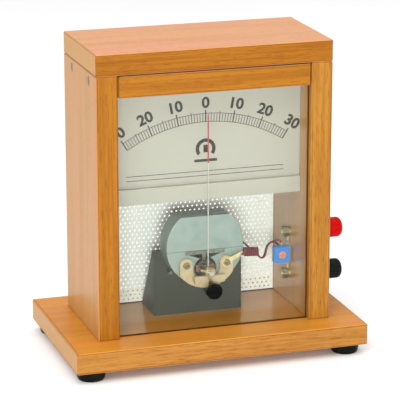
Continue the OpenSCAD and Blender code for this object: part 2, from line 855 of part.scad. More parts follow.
// Ring on the bridge's boss, fork for the crank pin, finger for the hairspring
module zero_lever() color("darkkhaki") {
    fork_in = pin_r + pin_play;
    fork_out = fork_in + 0.9;
    arm_low = knob_drop + crank_throw + 1.4;
    slot_top = knob_drop + crank_throw - 2.2;
    translate([0, 0, axis_z]) {
        plate_y(lever_y - lever_t, lever_y) difference() {
            union() {
                circle(lever_ring);
                translate([-fork_out, -arm_low]) square([2 * fork_out, arm_low]);
                rotate(finger_angle) translate([0, -0.9]) square([finger_r + finger_half, 1.8]);
            }
            circle(boss_r + run_fit);
            translate([-fork_in, -arm_low - 1]) square([2 * fork_in, arm_low - slot_top + 1]);
        }
        plate_y(lever_y - lever_t, spring_y + spring_w / 2)
            rotate(finger_angle) translate([finger_r - finger_half, -0.5]) square([2 * finger_half, 1]);
    }
}

module zero_bush() color("#303030") {
    difference() {
        union() {
            along_y(glass_y - bush_flange_t, glass_y, bush_flange_r, 0, knob_z);
            along_y(glass_y - bush_flange_t, glass_y + glass_t + bush_nut_t, bush_r, 0, knob_z);
        }
        along_y(glass_y - 3, glass_y + glass_t + 3, knob_shaft_r + run_fit, 0, knob_z);
    }
}

module zero_bush_nut() color("darkkhaki") {
    y = glass_y + glass_t;
    translate([0, 0, knob_z]) plate_y(y, y + bush_nut_t) difference() {
        hexagon(4.8);
        circle(bush_r + screw_fit);
    }
}

module zero_knob() color("#181818") {
    flutes = 20;
    flute_r = 0.5;
    difference() {
        union() {
            along_y(knob_y - knob_t + 0.6, knob_y, knob_d / 2, 0, knob_z);
            translate([0, knob_y - knob_t, knob_z]) rotate([-90, 0, 0])
                cylinder(h = 0.6, r1 = knob_d / 2 - 0.6, r2 = knob_d / 2);
            along_y(knob_y - 1, crank_y, knob_shaft_r, 0, knob_z);
        }
        for (i = [0 : flutes - 1]) {
            a = i * 360 / flutes;
            along_y(knob_y - knob_t - 1, knob_y + 0.01, flute_r,
                    knob_d / 2 * cos(a), knob_z + knob_d / 2 * sin(a));
        }
        translate([-knob_d, knob_y - knob_t - 1, knob_z - 0.7]) cube([2 * knob_d, 2.1, 1.4]);
    }
}

module zero_crank() color("silver") {
    along_y(crank_y, crank_y + crank_t, crank_r, 0, knob_z);
    along_y(crank_y + crank_t - 0.1, lever_y, pin_r, 0, knob_z - crank_throw);
}

// ---------- terminals ----------

// Stud through the side panel, flange, and threaded post with the plug socket
module post(z) {
    difference() {
        union() {
            along_x(stud_end, wall_x + collar_t, stud_r, 0, z);
            along_x(wall_x + collar_t - flange_sink, wall_x + collar_t + 0.5, flange_r, 0, z);
            along_x(wall_x + collar_t, post_end, post_r, 0, z);
        }
        along_x(post_end - socket_depth, post_end + 1, socket_d / 2, 0, z);
    }
}

module red_post() color("gold") {
    post(post_zs[0]);
}

module black_post() color("gold") {
    post(post_zs[1]);
}

// Insulating collar on the side panel, recessed for the post's flange
module collar(z) {
    difference() {
        along_x(wall_x, wall_x + collar_t, cap_d / 2 - 0.6, 0, z);
        along_x(wall_x - 1, wall_x + collar_t + 1, stud_r + screw_fit, 0, z);
        along_x(wall_x + collar_t - flange_sink, wall_x + collar_t + 1, flange_r + screw_fit, 0, z);
    }
}

module red_collar() color("firebrick") {
    collar(post_zs[0]);
}

module black_collar() color("#202020") {
    collar(post_zs[1]);
}

// Fluted cap with a domed end, open for the plug and hollow for its insert
module cap(z) {
    r = cap_d / 2;
    dome = 4;
    len = cap_end - cap_start;
    flutes = 18;
    translate([cap_start, 0, z]) rotate([0, 90, 0]) difference() {
        union() {
            cylinder(h = len - dome, r = r);
            translate([0, 0, len - dome]) rotate_extrude() {
                square([r - dome, dome]);
                translate([r - dome, 0]) intersection() {
                    circle(dome);
                    square([dome, dome]);
                }
            }
        }
        for (i = [0 : flutes - 1]) rotate(i * 360 / flutes)
            translate([r + 0.35, 0, 2]) cylinder(h = len, r = 0.9);
        translate([0, 0, -1]) cylinder(h = insert_len + 1, r = insert_r + run_fit);
        translate([0, 0, -1]) cylinder(h = len + 2, r = post_r + face_gap);
    }
}

module red_cap() color("red") {
    cap(post_zs[0]);
}

module black_cap() color("#181818") {
    cap(post_zs[1]);
}

// Threaded brass insert that rides on the post
module cap_insert(z) {
    difference() {
        along_x(cap_start, cap_start + insert_len - 0.05, insert_r, 0, z);
        along_x(cap_start - 1, cap_start + insert_len + 1, post_r + run_fit, 0, z);
    }
}

module red_cap_insert() color("gold") {
    cap_insert(post_zs[0]);
}

module black_cap_insert() color("gold") {
    cap_insert(post_zs[1]);
}

module post_nuts() color("darkgoldenrod") {
    for (z = post_zs) {
        difference() {
            along_x(in_x - washer_t, in_x, flange_r, 0, z);
            along_x(in_x - 2, in_x + 1, stud_r + screw_fit, 0, z);
        }
        translate([0, 0, z]) plate_x(lug_x - nut_t, lug_x) difference() {
            hexagon(nut_r);
            circle(stud_r + screw_fit);
        }
    }
}

// Ring lugs under the nuts, their tails reaching towards the trimmer
module solder_lugs() color("gold") {
    for (s = [0, 1]) translate([0, 0, post_zs[s]]) mirror([0, 0, s])
        plate_x(lug_x, lug_x + lug_t) difference() {
            union() {
                circle(4);
                translate([-1.5, -10.5]) square([3, 8]);
            }
            circle(stud_r + screw_fit);
        }
}

// ---------- trimmer ----------

module trimmer_body() color("royalblue") {
    leg_x = lug_x - 1;
    leg_l = 3.2;
    difference() {
        translate([trim_x, 0, axis_z]) plate_y(trim_y, trim_y + trim_t) round_rect(trim_size, trim_size, 0.6);
        along_y(trim_y - 1, trim_y + 2, trim_rotor_r + run_fit, trim_x, axis_z);
    }
    for (s = [-1, 1]) translate([leg_x, trim_y + trim_t - 0.5, axis_z + s * (trim_size / 2 + 1.4)])
        cube([2, 1, leg_l], center = true);
    translate([trim_x - 0.5, trim_y + trim_t / 2 - 0.5, axis_z + trim_size / 2 - 0.5]) cube([1, 1, 2.5]);
}

module trimmer_rotor() color("tomato") {
    difference() {
        along_y(trim_y - 0.4, trim_y + 1.9, trim_rotor_r, trim_x, axis_z);
        translate([trim_x - 2.2, trim_y - 1, axis_z - 0.5]) cube([4.4, 1.6, 1]);
        translate([trim_x - 0.5, trim_y - 1, axis_z - 2.2]) cube([1, 1.6, 4.4]);
    }
}

// ---------- leads ----------

// Lug under the bridge's right screw
module bridge_lug() color("gold") {
    translate([0, 0, axis_z]) plate_y(bridge_y - lug_t, bridge_y) difference() {
        union() {
            translate([bridge_foot_x, bridge_foot_z]) circle(4);
            polygon([[bridge_foot_x + 1.5, bridge_foot_z + 3.4], [bridge_foot_x + 3.4, bridge_foot_z],
                     [32, 10.6], [31, 13]]);
        }
        translate([bridge_foot_x, bridge_foot_z]) circle(small_screw_r + screw_fit);
    }
}

// Lug under the rear bridge's right screw
module rear_lug() color("gold") {
    y = rear_web_y + rear_web_t;
    translate([0, 0, axis_z]) plate_y(y, y + lug_t) difference() {
        union() {
            translate([rear_foot_x, 0]) circle(3.2);
            translate([rear_foot_x + 1, -1.2]) square([6, 2.4]);
        }
        translate([rear_foot_x, 0]) circle(small_screw_r + screw_fit);
    }
}

function unit(v) = v / norm(v);

// Tangent at each point of a path
function tangents(p) = [for (i = [0 : len(p) - 1])
    unit(p[min(i + 1, len(p) - 1)] - p[max(i - 1, 0)])];

// Side vectors that turn as little as possible along the tangents t
function sides(t, start) = [for (i = 0, n = unit(start - t[0] * (start * t[0])); i < len(t);
    i = i + 1, n = i < len(t) ? unit(n - t[i] * (n * t[i])) : n) n];

// Round wire of diameter d along the points p
module wire(p, d) {
    ring = 8;
    t = tangents(p);
    n = sides(t, [0, 0.3, 1]);
    last = len(p) - 1;
    points = [for (i = [0 : last], k = [0 : ring - 1])
        let (b = cross(t[i], n[i]), a = 360 * k / ring) p[i] + d / 2 * (n[i] * cos(a) + b * sin(a))];
    walls = [for (i = [0 : last - 1], k = [0 : ring - 1])
        let (a = i * ring + k, b = i * ring + (k + 1) % ring) [a, a + ring, b + ring, b]];
    ends = [[for (k = [0 : ring - 1]) k], [for (k = [ring - 1 : -1 : 0]) last * ring + k]];
    polyhedron(points, concat(walls, ends));
}

// Points of the lead wound about the line from wound_a to wound_b
function wound() = let (steps = 8, n = coil_turns * steps) [for (i = [0 : n])
    let (a = 90 + 360 * i / steps) wound_a + (wound_b - wound_a) * i / n
        + coil_r * [0, cos(a), sin(a)]];

module red_lead() color("maroon") {
    wire(concat(red_route_in, wound(), red_route_out), lead_d);
}

module black_lead() color("#202020") {
    wire(black_route, lead_d);
}

// ---------- the nodes ----------

base_board();
left_side_panel();
right_side_panel();
top_board();
inner_top_board();
top_dowels();
side_screws();
base_screws();
rubber_feet();
foot_screws();
front_glass();
scale_plate();
back_panel();
back_panel_screws();
magnet_bracket();
bracket_screws();
magnet_block();
pole_piece_left();
pole_piece_right();
magnet_screws();
core_bar();
iron_core();
front_bridge();
bridge_screws();
front_jewel_screw();
front_locknut();
rear_bridge();
rear_bridge_screws();
rear_jewel_screw();
coil_former();
coil_winding();
front_shaft();
rear_shaft();
pointer();
pointer_tip();
balance_weights();
front_hairspring();
rear_hairspring();
zero_lever();
zero_bush();
zero_bush_nut();
zero_knob();
zero_crank();
red_post();
black_post();
red_cap();
black_cap();
red_cap_insert();
black_cap_insert();
red_collar();
black_collar();
post_nuts();
solder_lugs();
trimmer_body();
trimmer_rotor();
bridge_lug();
rear_lug();
red_lead();
black_lead();
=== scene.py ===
"""Looks of a moving-coil demonstration galvanometer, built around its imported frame.

X runs to the right, Y to the back and Z up, as in the frame. Sub-assemblies hold their sizes in
millimetres and their angles in degrees, and MM turns a size into metres. The finishes and the
studio are in metres.
"""

import json
import logging
import math
from contextlib import contextmanager
from dataclasses import dataclass
from enum import Enum
from functools import lru_cache
from typing import Any, Callable, Iterator, List, Mapping, Optional, Protocol, Sequence, Tuple, Union

import bmesh
import bpy
import numpy as np
from mathutils import Matrix, Vector

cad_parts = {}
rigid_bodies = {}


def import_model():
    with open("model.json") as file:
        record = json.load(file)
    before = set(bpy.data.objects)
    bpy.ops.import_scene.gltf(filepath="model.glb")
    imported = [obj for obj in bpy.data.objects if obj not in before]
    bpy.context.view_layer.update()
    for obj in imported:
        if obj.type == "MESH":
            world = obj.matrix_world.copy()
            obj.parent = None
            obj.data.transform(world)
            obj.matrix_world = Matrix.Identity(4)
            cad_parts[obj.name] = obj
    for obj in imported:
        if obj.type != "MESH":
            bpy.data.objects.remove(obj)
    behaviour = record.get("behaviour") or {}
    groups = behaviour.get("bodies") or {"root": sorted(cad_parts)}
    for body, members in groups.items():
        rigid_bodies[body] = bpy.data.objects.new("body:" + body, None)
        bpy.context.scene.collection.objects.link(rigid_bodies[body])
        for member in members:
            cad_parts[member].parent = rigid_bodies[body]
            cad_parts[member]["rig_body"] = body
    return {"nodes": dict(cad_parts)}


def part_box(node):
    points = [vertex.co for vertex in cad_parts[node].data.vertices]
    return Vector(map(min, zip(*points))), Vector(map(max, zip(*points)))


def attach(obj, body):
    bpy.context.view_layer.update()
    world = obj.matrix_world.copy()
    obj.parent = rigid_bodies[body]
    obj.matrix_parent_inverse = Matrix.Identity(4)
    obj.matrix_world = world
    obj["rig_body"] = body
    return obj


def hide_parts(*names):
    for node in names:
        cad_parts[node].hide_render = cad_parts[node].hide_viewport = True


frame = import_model()

log = logging.getLogger("galvanometer")

Colour = Tuple[float, float, float]
Place = Tuple[float, float, float]
Number = Union[float, "Field"]
MM = 0.001


class Axis(Enum):
    """One of the frame's axes."""

    X = 0
    Y = 1
    Z = 2


# ---------- Shader maths ----------


def arithmetic(operation: str, swapped: bool = False) -> Callable[..., "Field"]:
    """Makes a method of Field that adds a Math node.

    Args:
        operation: The Math node's operation.
        swapped: Whether the other value comes first, as in 1 - field.

    Returns:
        The method, which takes the other value where there is one.
    """

    def add_node(self: "Field", other: Number = 0.0) -> "Field":
        """Adds the node for this value and the other."""
        first, second = (other, self) if swapped else (self, other)
        return self.graph.node("Math", {"operation": operation}, {0: first, 1: second})

    return add_node


@dataclass(frozen=True)
class Field:
    """A socket of a material's nodes, whose arithmetic adds Math nodes."""

    graph: "Graph"
    socket: bpy.types.NodeSocket

    __abs__ = arithmetic("ABSOLUTE")
    __add__ = arithmetic("ADD")
    __radd__ = arithmetic("ADD", swapped=True)
    __sub__ = arithmetic("SUBTRACT")
    __rsub__ = arithmetic("SUBTRACT", swapped=True)
    __mul__ = arithmetic("MULTIPLY")
    __rmul__ = arithmetic("MULTIPLY", swapped=True)
    __pow__ = arithmetic("POWER")

    def step(self, low: float, high: float) -> "Field":
        """A smooth step from 0 at low to 1 at high.

        Args:
            low: The value at which the step starts.
            high: The value at which it ends; below low, the step falls.

        Returns:
            The step, from 0 to 1.
        """
        limits = {1: low, 2: high, 3: 0.0, 4: 1.0}
        return self.graph.node("MapRange", {"interpolation_type": "SMOOTHSTEP"}, {0: self, **limits})


class Graph:
    """The node tree of one material."""

    def __init__(self, name: str) -> None:
        """Makes an empty material.

        Args:
            name: The material's name.
        """
        self.material = bpy.data.materials.new(name)
        self.material.use_nodes = True
        self.tree = self.material.node_tree
        self.tree.nodes.clear()

    def node(
        self,
        kind: str,
        settings: Optional[Mapping[str, Any]] = None,
        values: Optional[Mapping[Union[int, str], Any]] = None,
        out: Union[int, str] = 0,
    ) -> Field:
        """Adds one node of any kind.

        Args:
            kind: The node's type without its ShaderNode prefix.
            settings: The node's own settings, which are set first.
            values: Numbers, colours or fields for its inputs, by index or name.
            out: The output to return, by index or name.

        Returns:
            The chosen output as a field.
        """
        made = self.tree.nodes.new("ShaderNode" + kind)
        for name, setting in (settings or {}).items():
            setattr(made, name, setting)
        for key, value in (values or {}).items():
            socket = made.inputs[key]
            if isinstance(value, Field):
                self.tree.links.new(value.socket, socket)
            elif isinstance(value, tuple) and socket.type == "RGBA":
                socket.default_value = (*value, 1.0)
            else:
                socket.default_value = value
        return Field(self, made.outputs[out])

    def place(self, axis: Axis) -> Field:
        """A point's place along an axis."""
        return self._part(self.node("TexCoord", out="Object"), axis)

    def facing(self, axis: Axis) -> Field:
        """How squarely the surface looks along an axis, either way, from 0 to 1."""
        return abs(self._part(self.node("NewGeometry", out="Normal"), axis))

    def _part(self, vector: Field, axis: Axis) -> Field:
        """A vector's part along an axis."""
        return self.node("SeparateXYZ", values={0: vector}, out=axis.value)

    def noise(
        self,
        scale: Union[float, Place],
        detail: float = 2.0,
        roughness: float = 0.5,
        shift: float = 0.0,
        swirl: float = 0.0,
    ) -> Field:
        """A noise pattern from 0 to 1.

        Args:
            scale: Features per metre, one number or one for each axis.
            detail: How many finer layers it has.
            roughness: How strong the finer layers are.
            shift: An offset that gives another part of the pattern.
            swirl: How much the pattern is distorted.

        Returns:
            The pattern's value.
        """
        size = scale if isinstance(scale, tuple) else (scale,) * 3
        where = self.node("TexCoord", out="Object")
        place = self.node("Mapping", values={"Vector": where, "Scale": size, "Location": (shift,) * 3})
        looks = {"Scale": 1.0, "Detail": detail, "Roughness": roughness, "Distortion": swirl}
        return self.node("TexNoise", values={"Vector": place, **looks})

    def mix(self, a: Union[Colour, Field], b: Union[Colour, Field], share: Number) -> Field:
        """A colour between a and b, by share."""
        settings = {"data_type": "RGBA", "clamp_factor": True}
        return self.node("Mix", settings, {0: share, 6: a, 7: b}, out=2)

    def bump(self, height: Field, strength: float, distance: float) -> Field:
        """A normal that stands for a height, distance metres from low to high."""
        return self.node("Bump", values={"Height": height, "Strength": strength, "Distance": distance})

    def surface(self, **values: Any) -> bpy.types.Material:
        """Ends the tree in a Principled shader.

        Args:
            **values: The shader's inputs, with _ in place of each space.

        Returns:
            The finished material.
        """
        named = {name.replace("_", " "): value for name, value in values.items()}
        return self.end(self.node("BsdfPrincipled", values=named))

    def end(self, shader: Field) -> bpy.types.Material:
        """Links a shader to the material's output and returns the material.

        Args:
            shader: The shader that ends the tree.

        Returns:
            The finished material.
        """
        output = self.tree.nodes.new("ShaderNodeOutputMaterial")
        self.tree.links.new(shader.socket, output.inputs["Surface"])
        return self.material


# ---------- Finishes ----------


class Finish(Protocol):
    """What every finish can do."""

    def material(self) -> bpy.types.Material:
        """Makes the finish's material."""


@lru_cache(maxsize=None)
def material_of(finish: Finish) -> bpy.types.Material:
    """A finish's material, made once for all the pieces that share it."""
    return finish.material()


class Grain(Enum):
    """A pattern in the wood.

    Each holds its features per metre across and along the grain, how many finer layers it has and
    how strong they are, its swirl, and its offset from the board's part of the noise.
    """

    STRIPES = (70.0, 3.0, 3.0, 0.55, 0.0, 0.0)
    FIBRES = (900.0, 16.0, 3.0, 0.6, 0.0, 0.0)
    FLECKS = (1300.0, 190.0, 1.0, 0.5, 0.0, 0.0)
    PORES = (1500.0, 85.0, 2.0, 0.6, 0.0, 0.0)
    BANDS = (330.0, 9.0, 2.0, 0.5, 0.3, 0.0)
    BLUSH = (45.0, 4.0, 2.0, 0.5, 0.0, 0.5)


def toned(colour: Colour, shares: Colour) -> Colour:
    """A colour with each channel scaled by its share."""
    return colour[0] * shares[0], colour[1] * shares[1], colour[2] * shares[2]


@dataclass(frozen=True)
class BoardFinish:
    """Lacquered beech laminate with an open-grained band along the narrow edges.

    low and high are the board's flat faces, along the axis named flat. inner_x and glass_y bound
    the inside of the case, with an edge soft wide. seam is where the edge band starts on a flat
    face, in X and in Y.
    """

    name: str
    grain: Axis
    flat: Axis
    low: float
    high: float
    shift: float
    laminate: Colour = (0.475, 0.243, 0.076)
    band: Colour = (0.335, 0.131, 0.0068)
    pore: Colour = (0.15, 0.035, 0.002)
    end: Colour = (0.50, 0.255, 0.062)
    varnished: bool = False
    seam: Tuple[float, float] = (0.0, 0.0)
    inner_x: float = 0.0830
    glass_y: float = 0.0425
    soft: float = 0.0005

    def material(self) -> bpy.types.Material:
        """Stripes, fibres and flecks along the grain, and a glue line by each edge.

        Returns:
            The material.
        """
        g = Graph(self.name)
        edge = g.facing(self.flat).step(0.8, 0.55)
        cut_end = g.facing(self.grain).step(0.7, 0.9)
        stripes = self._pattern(g, Grain.STRIPES).step(0.35, 0.7)
        fibres = self._pattern(g, Grain.FIBRES)
        flecks = self._pattern(g, Grain.FLECKS).step(0.60, 0.72)
        pores = self._pattern(g, Grain.PORES).step(0.54, 0.66)
        bands = self._pattern(g, Grain.BANDS).step(0.4, 0.65)
        blush = self._pattern(g, Grain.BLUSH).step(0.45, 0.68)
        laminate_dark = toned(self.laminate, (0.82, 0.70, 0.50))
        laminate_pink = toned(self.laminate, (1.05, 0.87, 1.12))
        band_dark = toned(self.band, (0.70, 0.58, 0.45))
        end_dark = toned(self.end, (0.80, 0.70, 0.55))
        face = g.mix(self.laminate, laminate_dark, stripes * 0.55 + fibres * 0.3)
        face = g.mix(face, laminate_pink, blush * 0.5)
        face = g.mix(face, band_dark, flecks * 0.35)
        side = g.mix(self.band, band_dark, bands * 0.55 + fibres * 0.35)
        side = g.mix(side, self.pore, pores * 0.55)
        cut = g.mix(self.end, end_dark, fibres * 0.5 + pores * 0.5)
        wood = g.mix(face, side, self._banded(g, edge))
        wood = g.mix(wood, cut, cut_end)
        lines = self._glue_line(g) * edge * 0.8 + self._seam_line(g) * (1.0 - edge) * 0.75
        relief = fibres * 0.4 - pores * edge - flecks * 0.3
        return g.surface(
            Base_Color=g.mix(wood, self.pore, lines),
            Roughness=0.27 + fibres * 0.1 + pores * 0.1,
            Specular_IOR_Level=0.16,
            Coat_Weight=self._varnish(g),
            Coat_Roughness=0.13,
            Normal=g.bump(relief, 0.25, 0.00012),
        )

    def _pattern(self, g: Graph, grain: Grain) -> Field:
        """One of the wood's patterns, with its long way along the grain's axis.

        Args:
            g: The board's graph.
            grain: Which pattern.

        Returns:
            The pattern, from 0 to 1.
        """
        across, along, detail, roughness, swirl, offset = grain.value
        x, y, z = (along if axis is self.grain else across for axis in Axis)
        return g.noise((x, y, z), detail, roughness, self.shift + offset, swirl)

    def _varnish(self, g: Graph) -> Number:
        """Where the faces inside the case, behind the glass, carry clear varnish.

        Args:
            g: The board's graph.

        Returns:
            The coat's weight.
        """
        if not self.varnished:
            return 0.0
        inside = abs(g.place(Axis.X)).step(self.inner_x, self.inner_x - self.soft)
        behind = abs(g.place(Axis.Y)).step(self.glass_y, self.glass_y - 3 * self.soft)
        return inside * behind * 0.6

    def _banded(self, g: Graph, edge: Field) -> Field:
        """The edges, and a side panel's inner face as far back as the glass.

        Args:
            g: The board's graph.
            edge: 1 on the narrow edges.

        Returns:
            1 where the band shows.
        """
        if self.flat is not Axis.X:
            return edge
        inside = abs(g.place(Axis.X)).step(self.inner_x, self.inner_x - self.soft)
        front = abs(g.place(Axis.Y)).step(self.glass_y, self.glass_y + self.soft)
        return edge + inside * front * (1.0 - edge)

    def _seam_line(self, g: Graph) -> Number:
        """Thin line on the flat faces, where they meet the edge band.

        Args:
            g: The board's graph.

        Returns:
            1 on the line.
        """
        if not any(self.seam):
            return 0.0
        side, front = (
            abs(abs(g.place(axis)) - reach).step(0.45 * MM, 0.18 * MM)
            for axis, reach in zip((Axis.X, Axis.Y), self.seam)
        )
        return side + front * (1.0 - side) * 0.6

    def _glue_line(self, g: Graph) -> Field:
        """Thin line on the edges, a millimetre inside each flat face.

        Args:
            g: The board's graph.

        Returns:
            1 on the line.
        """
        middle = (self.low + self.high) / 2
        reach = (self.high - self.low) / 2 - 1.0 * MM
        return abs(abs(g.place(self.flat) - middle) - reach).step(0.352 * MM, 0.132 * MM)


@dataclass(frozen=True)
class MetalFinish:
    """Bare or plated metal with tarnish in patches and fine scratches."""

    name: str
    colour: Colour
    tarnish: Colour
    roughness: float = 0.3
    patches: float = 120.0
    amount: float = 0.5
    metallic: float = 1.0

    def material(self) -> bpy.types.Material:
        """Mixes bright and tarnished metal by a soft noise.

        Returns:
            The material.
        """
        g = Graph(self.name)
        cloud = g.noise(self.patches, 3.0, 0.6).step(0.38, 0.7)
        scratch = g.noise((4000.0, 500.0, 700.0), 2.0, 0.6)
        return g.surface(
            Base_Color=g.mix(self.colour, self.tarnish, cloud * self.amount),
            Metallic=self.metallic,
            Roughness=self.roughness + cloud * 0.15 + scratch * 0.08,
            Normal=g.bump(scratch, 0.12, 0.00003),
        )


@dataclass(frozen=True)
class PaintFinish:
    """Enamel or powder coat on metal, with orange peel and a few dull patches."""

    name: str
    colour: Colour
    shade: Colour
    roughness: float = 0.4
    peel: float = 900.0
    depth: float = 0.00006
    mottle: float = 45.0

    def material(self) -> bpy.types.Material:
        """Two close tones in soft patches over a dimpled surface.

        Returns:
            The material.
        """
        g = Graph(self.name)
        patch = g.noise(self.mottle, 3.0, 0.55).step(0.35, 0.7)
        dimple = g.noise(self.peel)
        return g.surface(
            Base_Color=g.mix(self.colour, self.shade, patch * 0.7 + dimple * 0.3),
            Roughness=self.roughness + patch * 0.08,
            Normal=g.bump(dimple, 0.35, self.depth),
        )


@dataclass(frozen=True)
class PlasticFinish:
    """Moulded plastic, bakelite or rubber."""

    name: str
    colour: Colour
    worn: Colour
    roughness: float = 0.3
    grain: float = 1500.0
    depth: float = 0.00002
    gloss: float = 0.12

    def material(self) -> bpy.types.Material:
        """A plain colour with faint scuffs and a moulded grain.

        Returns:
            The material.
        """
        g = Graph(self.name)
        scuff = g.noise(160.0, 4.0, 0.65).step(0.5, 0.75)
        grain = g.noise(self.grain)
        return g.surface(
            Base_Color=g.mix(self.colour, self.worn, scuff * 0.6 + grain * 0.2),
            Roughness=self.roughness + scuff * 0.15,
            Specular_IOR_Level=self.gloss,
            Normal=g.bump(grain, 0.2, self.depth),
        )


@dataclass(frozen=True)
class TrimmerFinish:
    """Blue moulded body whose legs, above and below it, are tinned metal."""

    name: str
    middle: float
    half: float
    blue: Colour = (0.040, 0.21, 0.64)
    blue_worn: Colour = (0.06, 0.27, 0.70)
    tin: Colour = (0.48, 0.49, 0.43)

    def material(self) -> bpy.types.Material:
        """Blue within the body's half height of its middle, and metal beyond.

        Returns:
            The material.
        """
        g = Graph(self.name)
        leg = abs(g.place(Axis.Z) - self.middle).step(self.half, self.half + 0.1 * MM)
        scuff = g.noise(220.0, 3.0, 0.6).step(0.45, 0.75)
        return g.surface(
            Base_Color=g.mix(g.mix(self.blue, self.blue_worn, scuff), self.tin, leg),
            Metallic=leg,
            Roughness=0.32 + scuff * 0.1,
            Normal=g.bump(g.noise(1400.0), 0.2, 0.00002),
        )


@dataclass(frozen=True)
class GlassFinish:
    """Clear window glass as a pane that mirrors more at a glance."""

    name: str
    tint: Colour = (0.955, 0.968, 0.945)
    shine: Colour = (0.99, 1.0, 0.90)
    head_on: float = 0.022

    def material(self) -> bpy.types.Material:
        """Mirrors by Schlick's rule, and is clear elsewhere.

        Returns:
            The material.
        """
        g = Graph(self.name)
        glance = g.node("LayerWeight", values={"Blend": 0.5}, out="Facing")
        mirror = glance ** 5.0 * (1.0 - self.head_on) + self.head_on
        clear = g.node("BsdfTransparent", values={"Color": self.tint})
        haze = g.noise(30.0) * 0.02
        gloss = g.node("BsdfAnisotropic", values={"Color": self.shine, "Roughness": haze})
        return g.end(g.node("MixShader", values={0: mirror, 1: clear, 2: gloss}))


@dataclass(frozen=True)
class CopperWireFinish:
    """Enamelled copper wire with a spread of tones from turn to turn."""

    name: str
    colour: Colour
    shade: Colour

    def material(self) -> bpy.types.Material:
        """Tones that change every few turns, and a varnish coat.

        Returns:
            The material.
        """
        g = Graph(self.name)
        turn = g.noise((60.0, 60.0, 2600.0))
        return g.surface(
            Base_Color=g.mix(self.colour, self.shade, turn.step(0.35, 0.65)),
            Metallic=0.85,
            Roughness=0.3 + turn * 0.15,
            Coat_Weight=0.5,
            Coat_Roughness=0.15,
        )


@dataclass(frozen=True)
class FloorFinish:
    """Matt paper of one pale tone."""

    name: str

    def material(self) -> bpy.types.Material:
        """Two tones of white that are all but alike."""
        g = Graph(self.name)
        return g.surface(Base_Color=g.mix((0.88,) * 3, (0.9,) * 3, g.noise(3.0)), Roughness=0.9)


# ---------- Meshes ----------

# Points nearer than this are one: on a new piece, on a copy of a node, between the sheet's cells.
WELD_NEW = 1e-7
WELD_COPY = 1e-6
WELD_CELLS = 2e-6
# Faces of a copy that meet at less than FLAT become one, and edges over SHARP are rounded.
FLAT = math.radians(1.0)
SHARP = math.radians(35.0)


def linked(name: str, data: bpy.types.ID) -> bpy.types.Object:
    """A new object in the scene that holds some data.

    Args:
        name: Its name.
        data: The mesh, curve, text, light or camera that it holds.

    Returns:
        The object.
    """
    piece = bpy.data.objects.new(name, data)
    bpy.context.scene.collection.objects.link(piece)
    return piece


@contextmanager
def reworked(mesh: bpy.types.Mesh) -> Iterator[bmesh.types.BMesh]:
    """Opens a mesh for work on its faces, and writes them back.

    Args:
        mesh: The mesh.

    Yields:
        The mesh, open for work.
    """
    work = bmesh.new()
    work.from_mesh(mesh)
    yield work
    work.to_mesh(mesh)
    work.free()


def mesh_piece(
    name: str,
    points: np.ndarray,
    corners: np.ndarray,
    sizes: Optional[np.ndarray] = None,
    smooth: bool = True,
) -> bpy.types.Object:
    """Makes an object from points and faces.

    Args:
        name: The piece's name.
        points: Array of n by 3 places.
        corners: The faces' point numbers, turning left seen from outside: m by 4, or one row.
        sizes: How many corners each face has, where the numbers are in one row.
        smooth: Whether the faces are shaded smooth.

    Returns:
        The new object, linked to the scene.
    """
    if sizes is None:
        sizes = np.full(len(corners), corners.shape[1])
    starts = np.concatenate([[0], np.cumsum(sizes)[:-1]])
    mesh = bpy.data.meshes.new(name)
    mesh.vertices.add(len(points))
    mesh.vertices.foreach_set("co", points.astype(np.float32).ravel())
    mesh.loops.add(corners.size)
    mesh.loops.foreach_set("vertex_index", corners.astype(np.int32).ravel())
    mesh.polygons.add(len(sizes))
    mesh.polygons.foreach_set("loop_start", starts.astype(np.int32))
    mesh.polygons.foreach_set("loop_total", sizes.astype(np.int32))
    mesh.update(calc_edges=True)
    mesh.polygons.foreach_set("use_smooth", np.full(len(sizes), smooth))
    mesh.validate()
    return linked(name, mesh)


def grid_quads(rows: int, columns: int, ring: bool = False) -> np.ndarray:
    """Faces of a grid of points, row by row, whose last column joins the first.

    Args:
        rows: Points along the first parameter.
        columns: Points along the second parameter.
        ring: Whether the last row joins the first as well.

    Returns:
        Array of m by 4 point numbers.
    """
    i = np.arange(rows if ring else rows - 1)[:, None]
    j = np.arange(columns)[None, :]
    k, n = (i + 1) % rows, (j + 1) % columns
    quads = np.stack([i * columns + j, i * columns + n, k * columns + n, k * columns + j], -1)
    return quads.reshape(-1, 4)


def mended(piece: bpy.types.Object) -> bpy.types.Object:
    """Merges a piece's doubled points, closes its ends and turns its faces outwards.

    Args:
        piece: The piece.

    Returns:
        The same piece.
    """
    with reworked(piece.data) as work:
        bmesh.ops.remove_doubles(work, verts=work.verts, dist=WELD_NEW)
        bmesh.ops.holes_fill(work, edges=work.edges, sides=0)
        bmesh.ops.recalc_face_normals(work, faces=work.faces)
    return piece


def joined(name: str, parts: Sequence[bpy.types.Object]) -> bpy.types.Object:
    """Several pieces as one mesh under a new name.

    Args:
        name: The new piece's name.
        parts: The pieces, which are used up.

    Returns:
        The new piece.
    """
    mesh = bpy.data.meshes.new(name)
    work = bmesh.new()
    for part in parts:
        old = part.data
        work.from_mesh(old)
        bpy.data.objects.remove(part)
        bpy.data.meshes.remove(old)
    work.to_mesh(mesh)
    work.free()
    return linked(name, mesh)


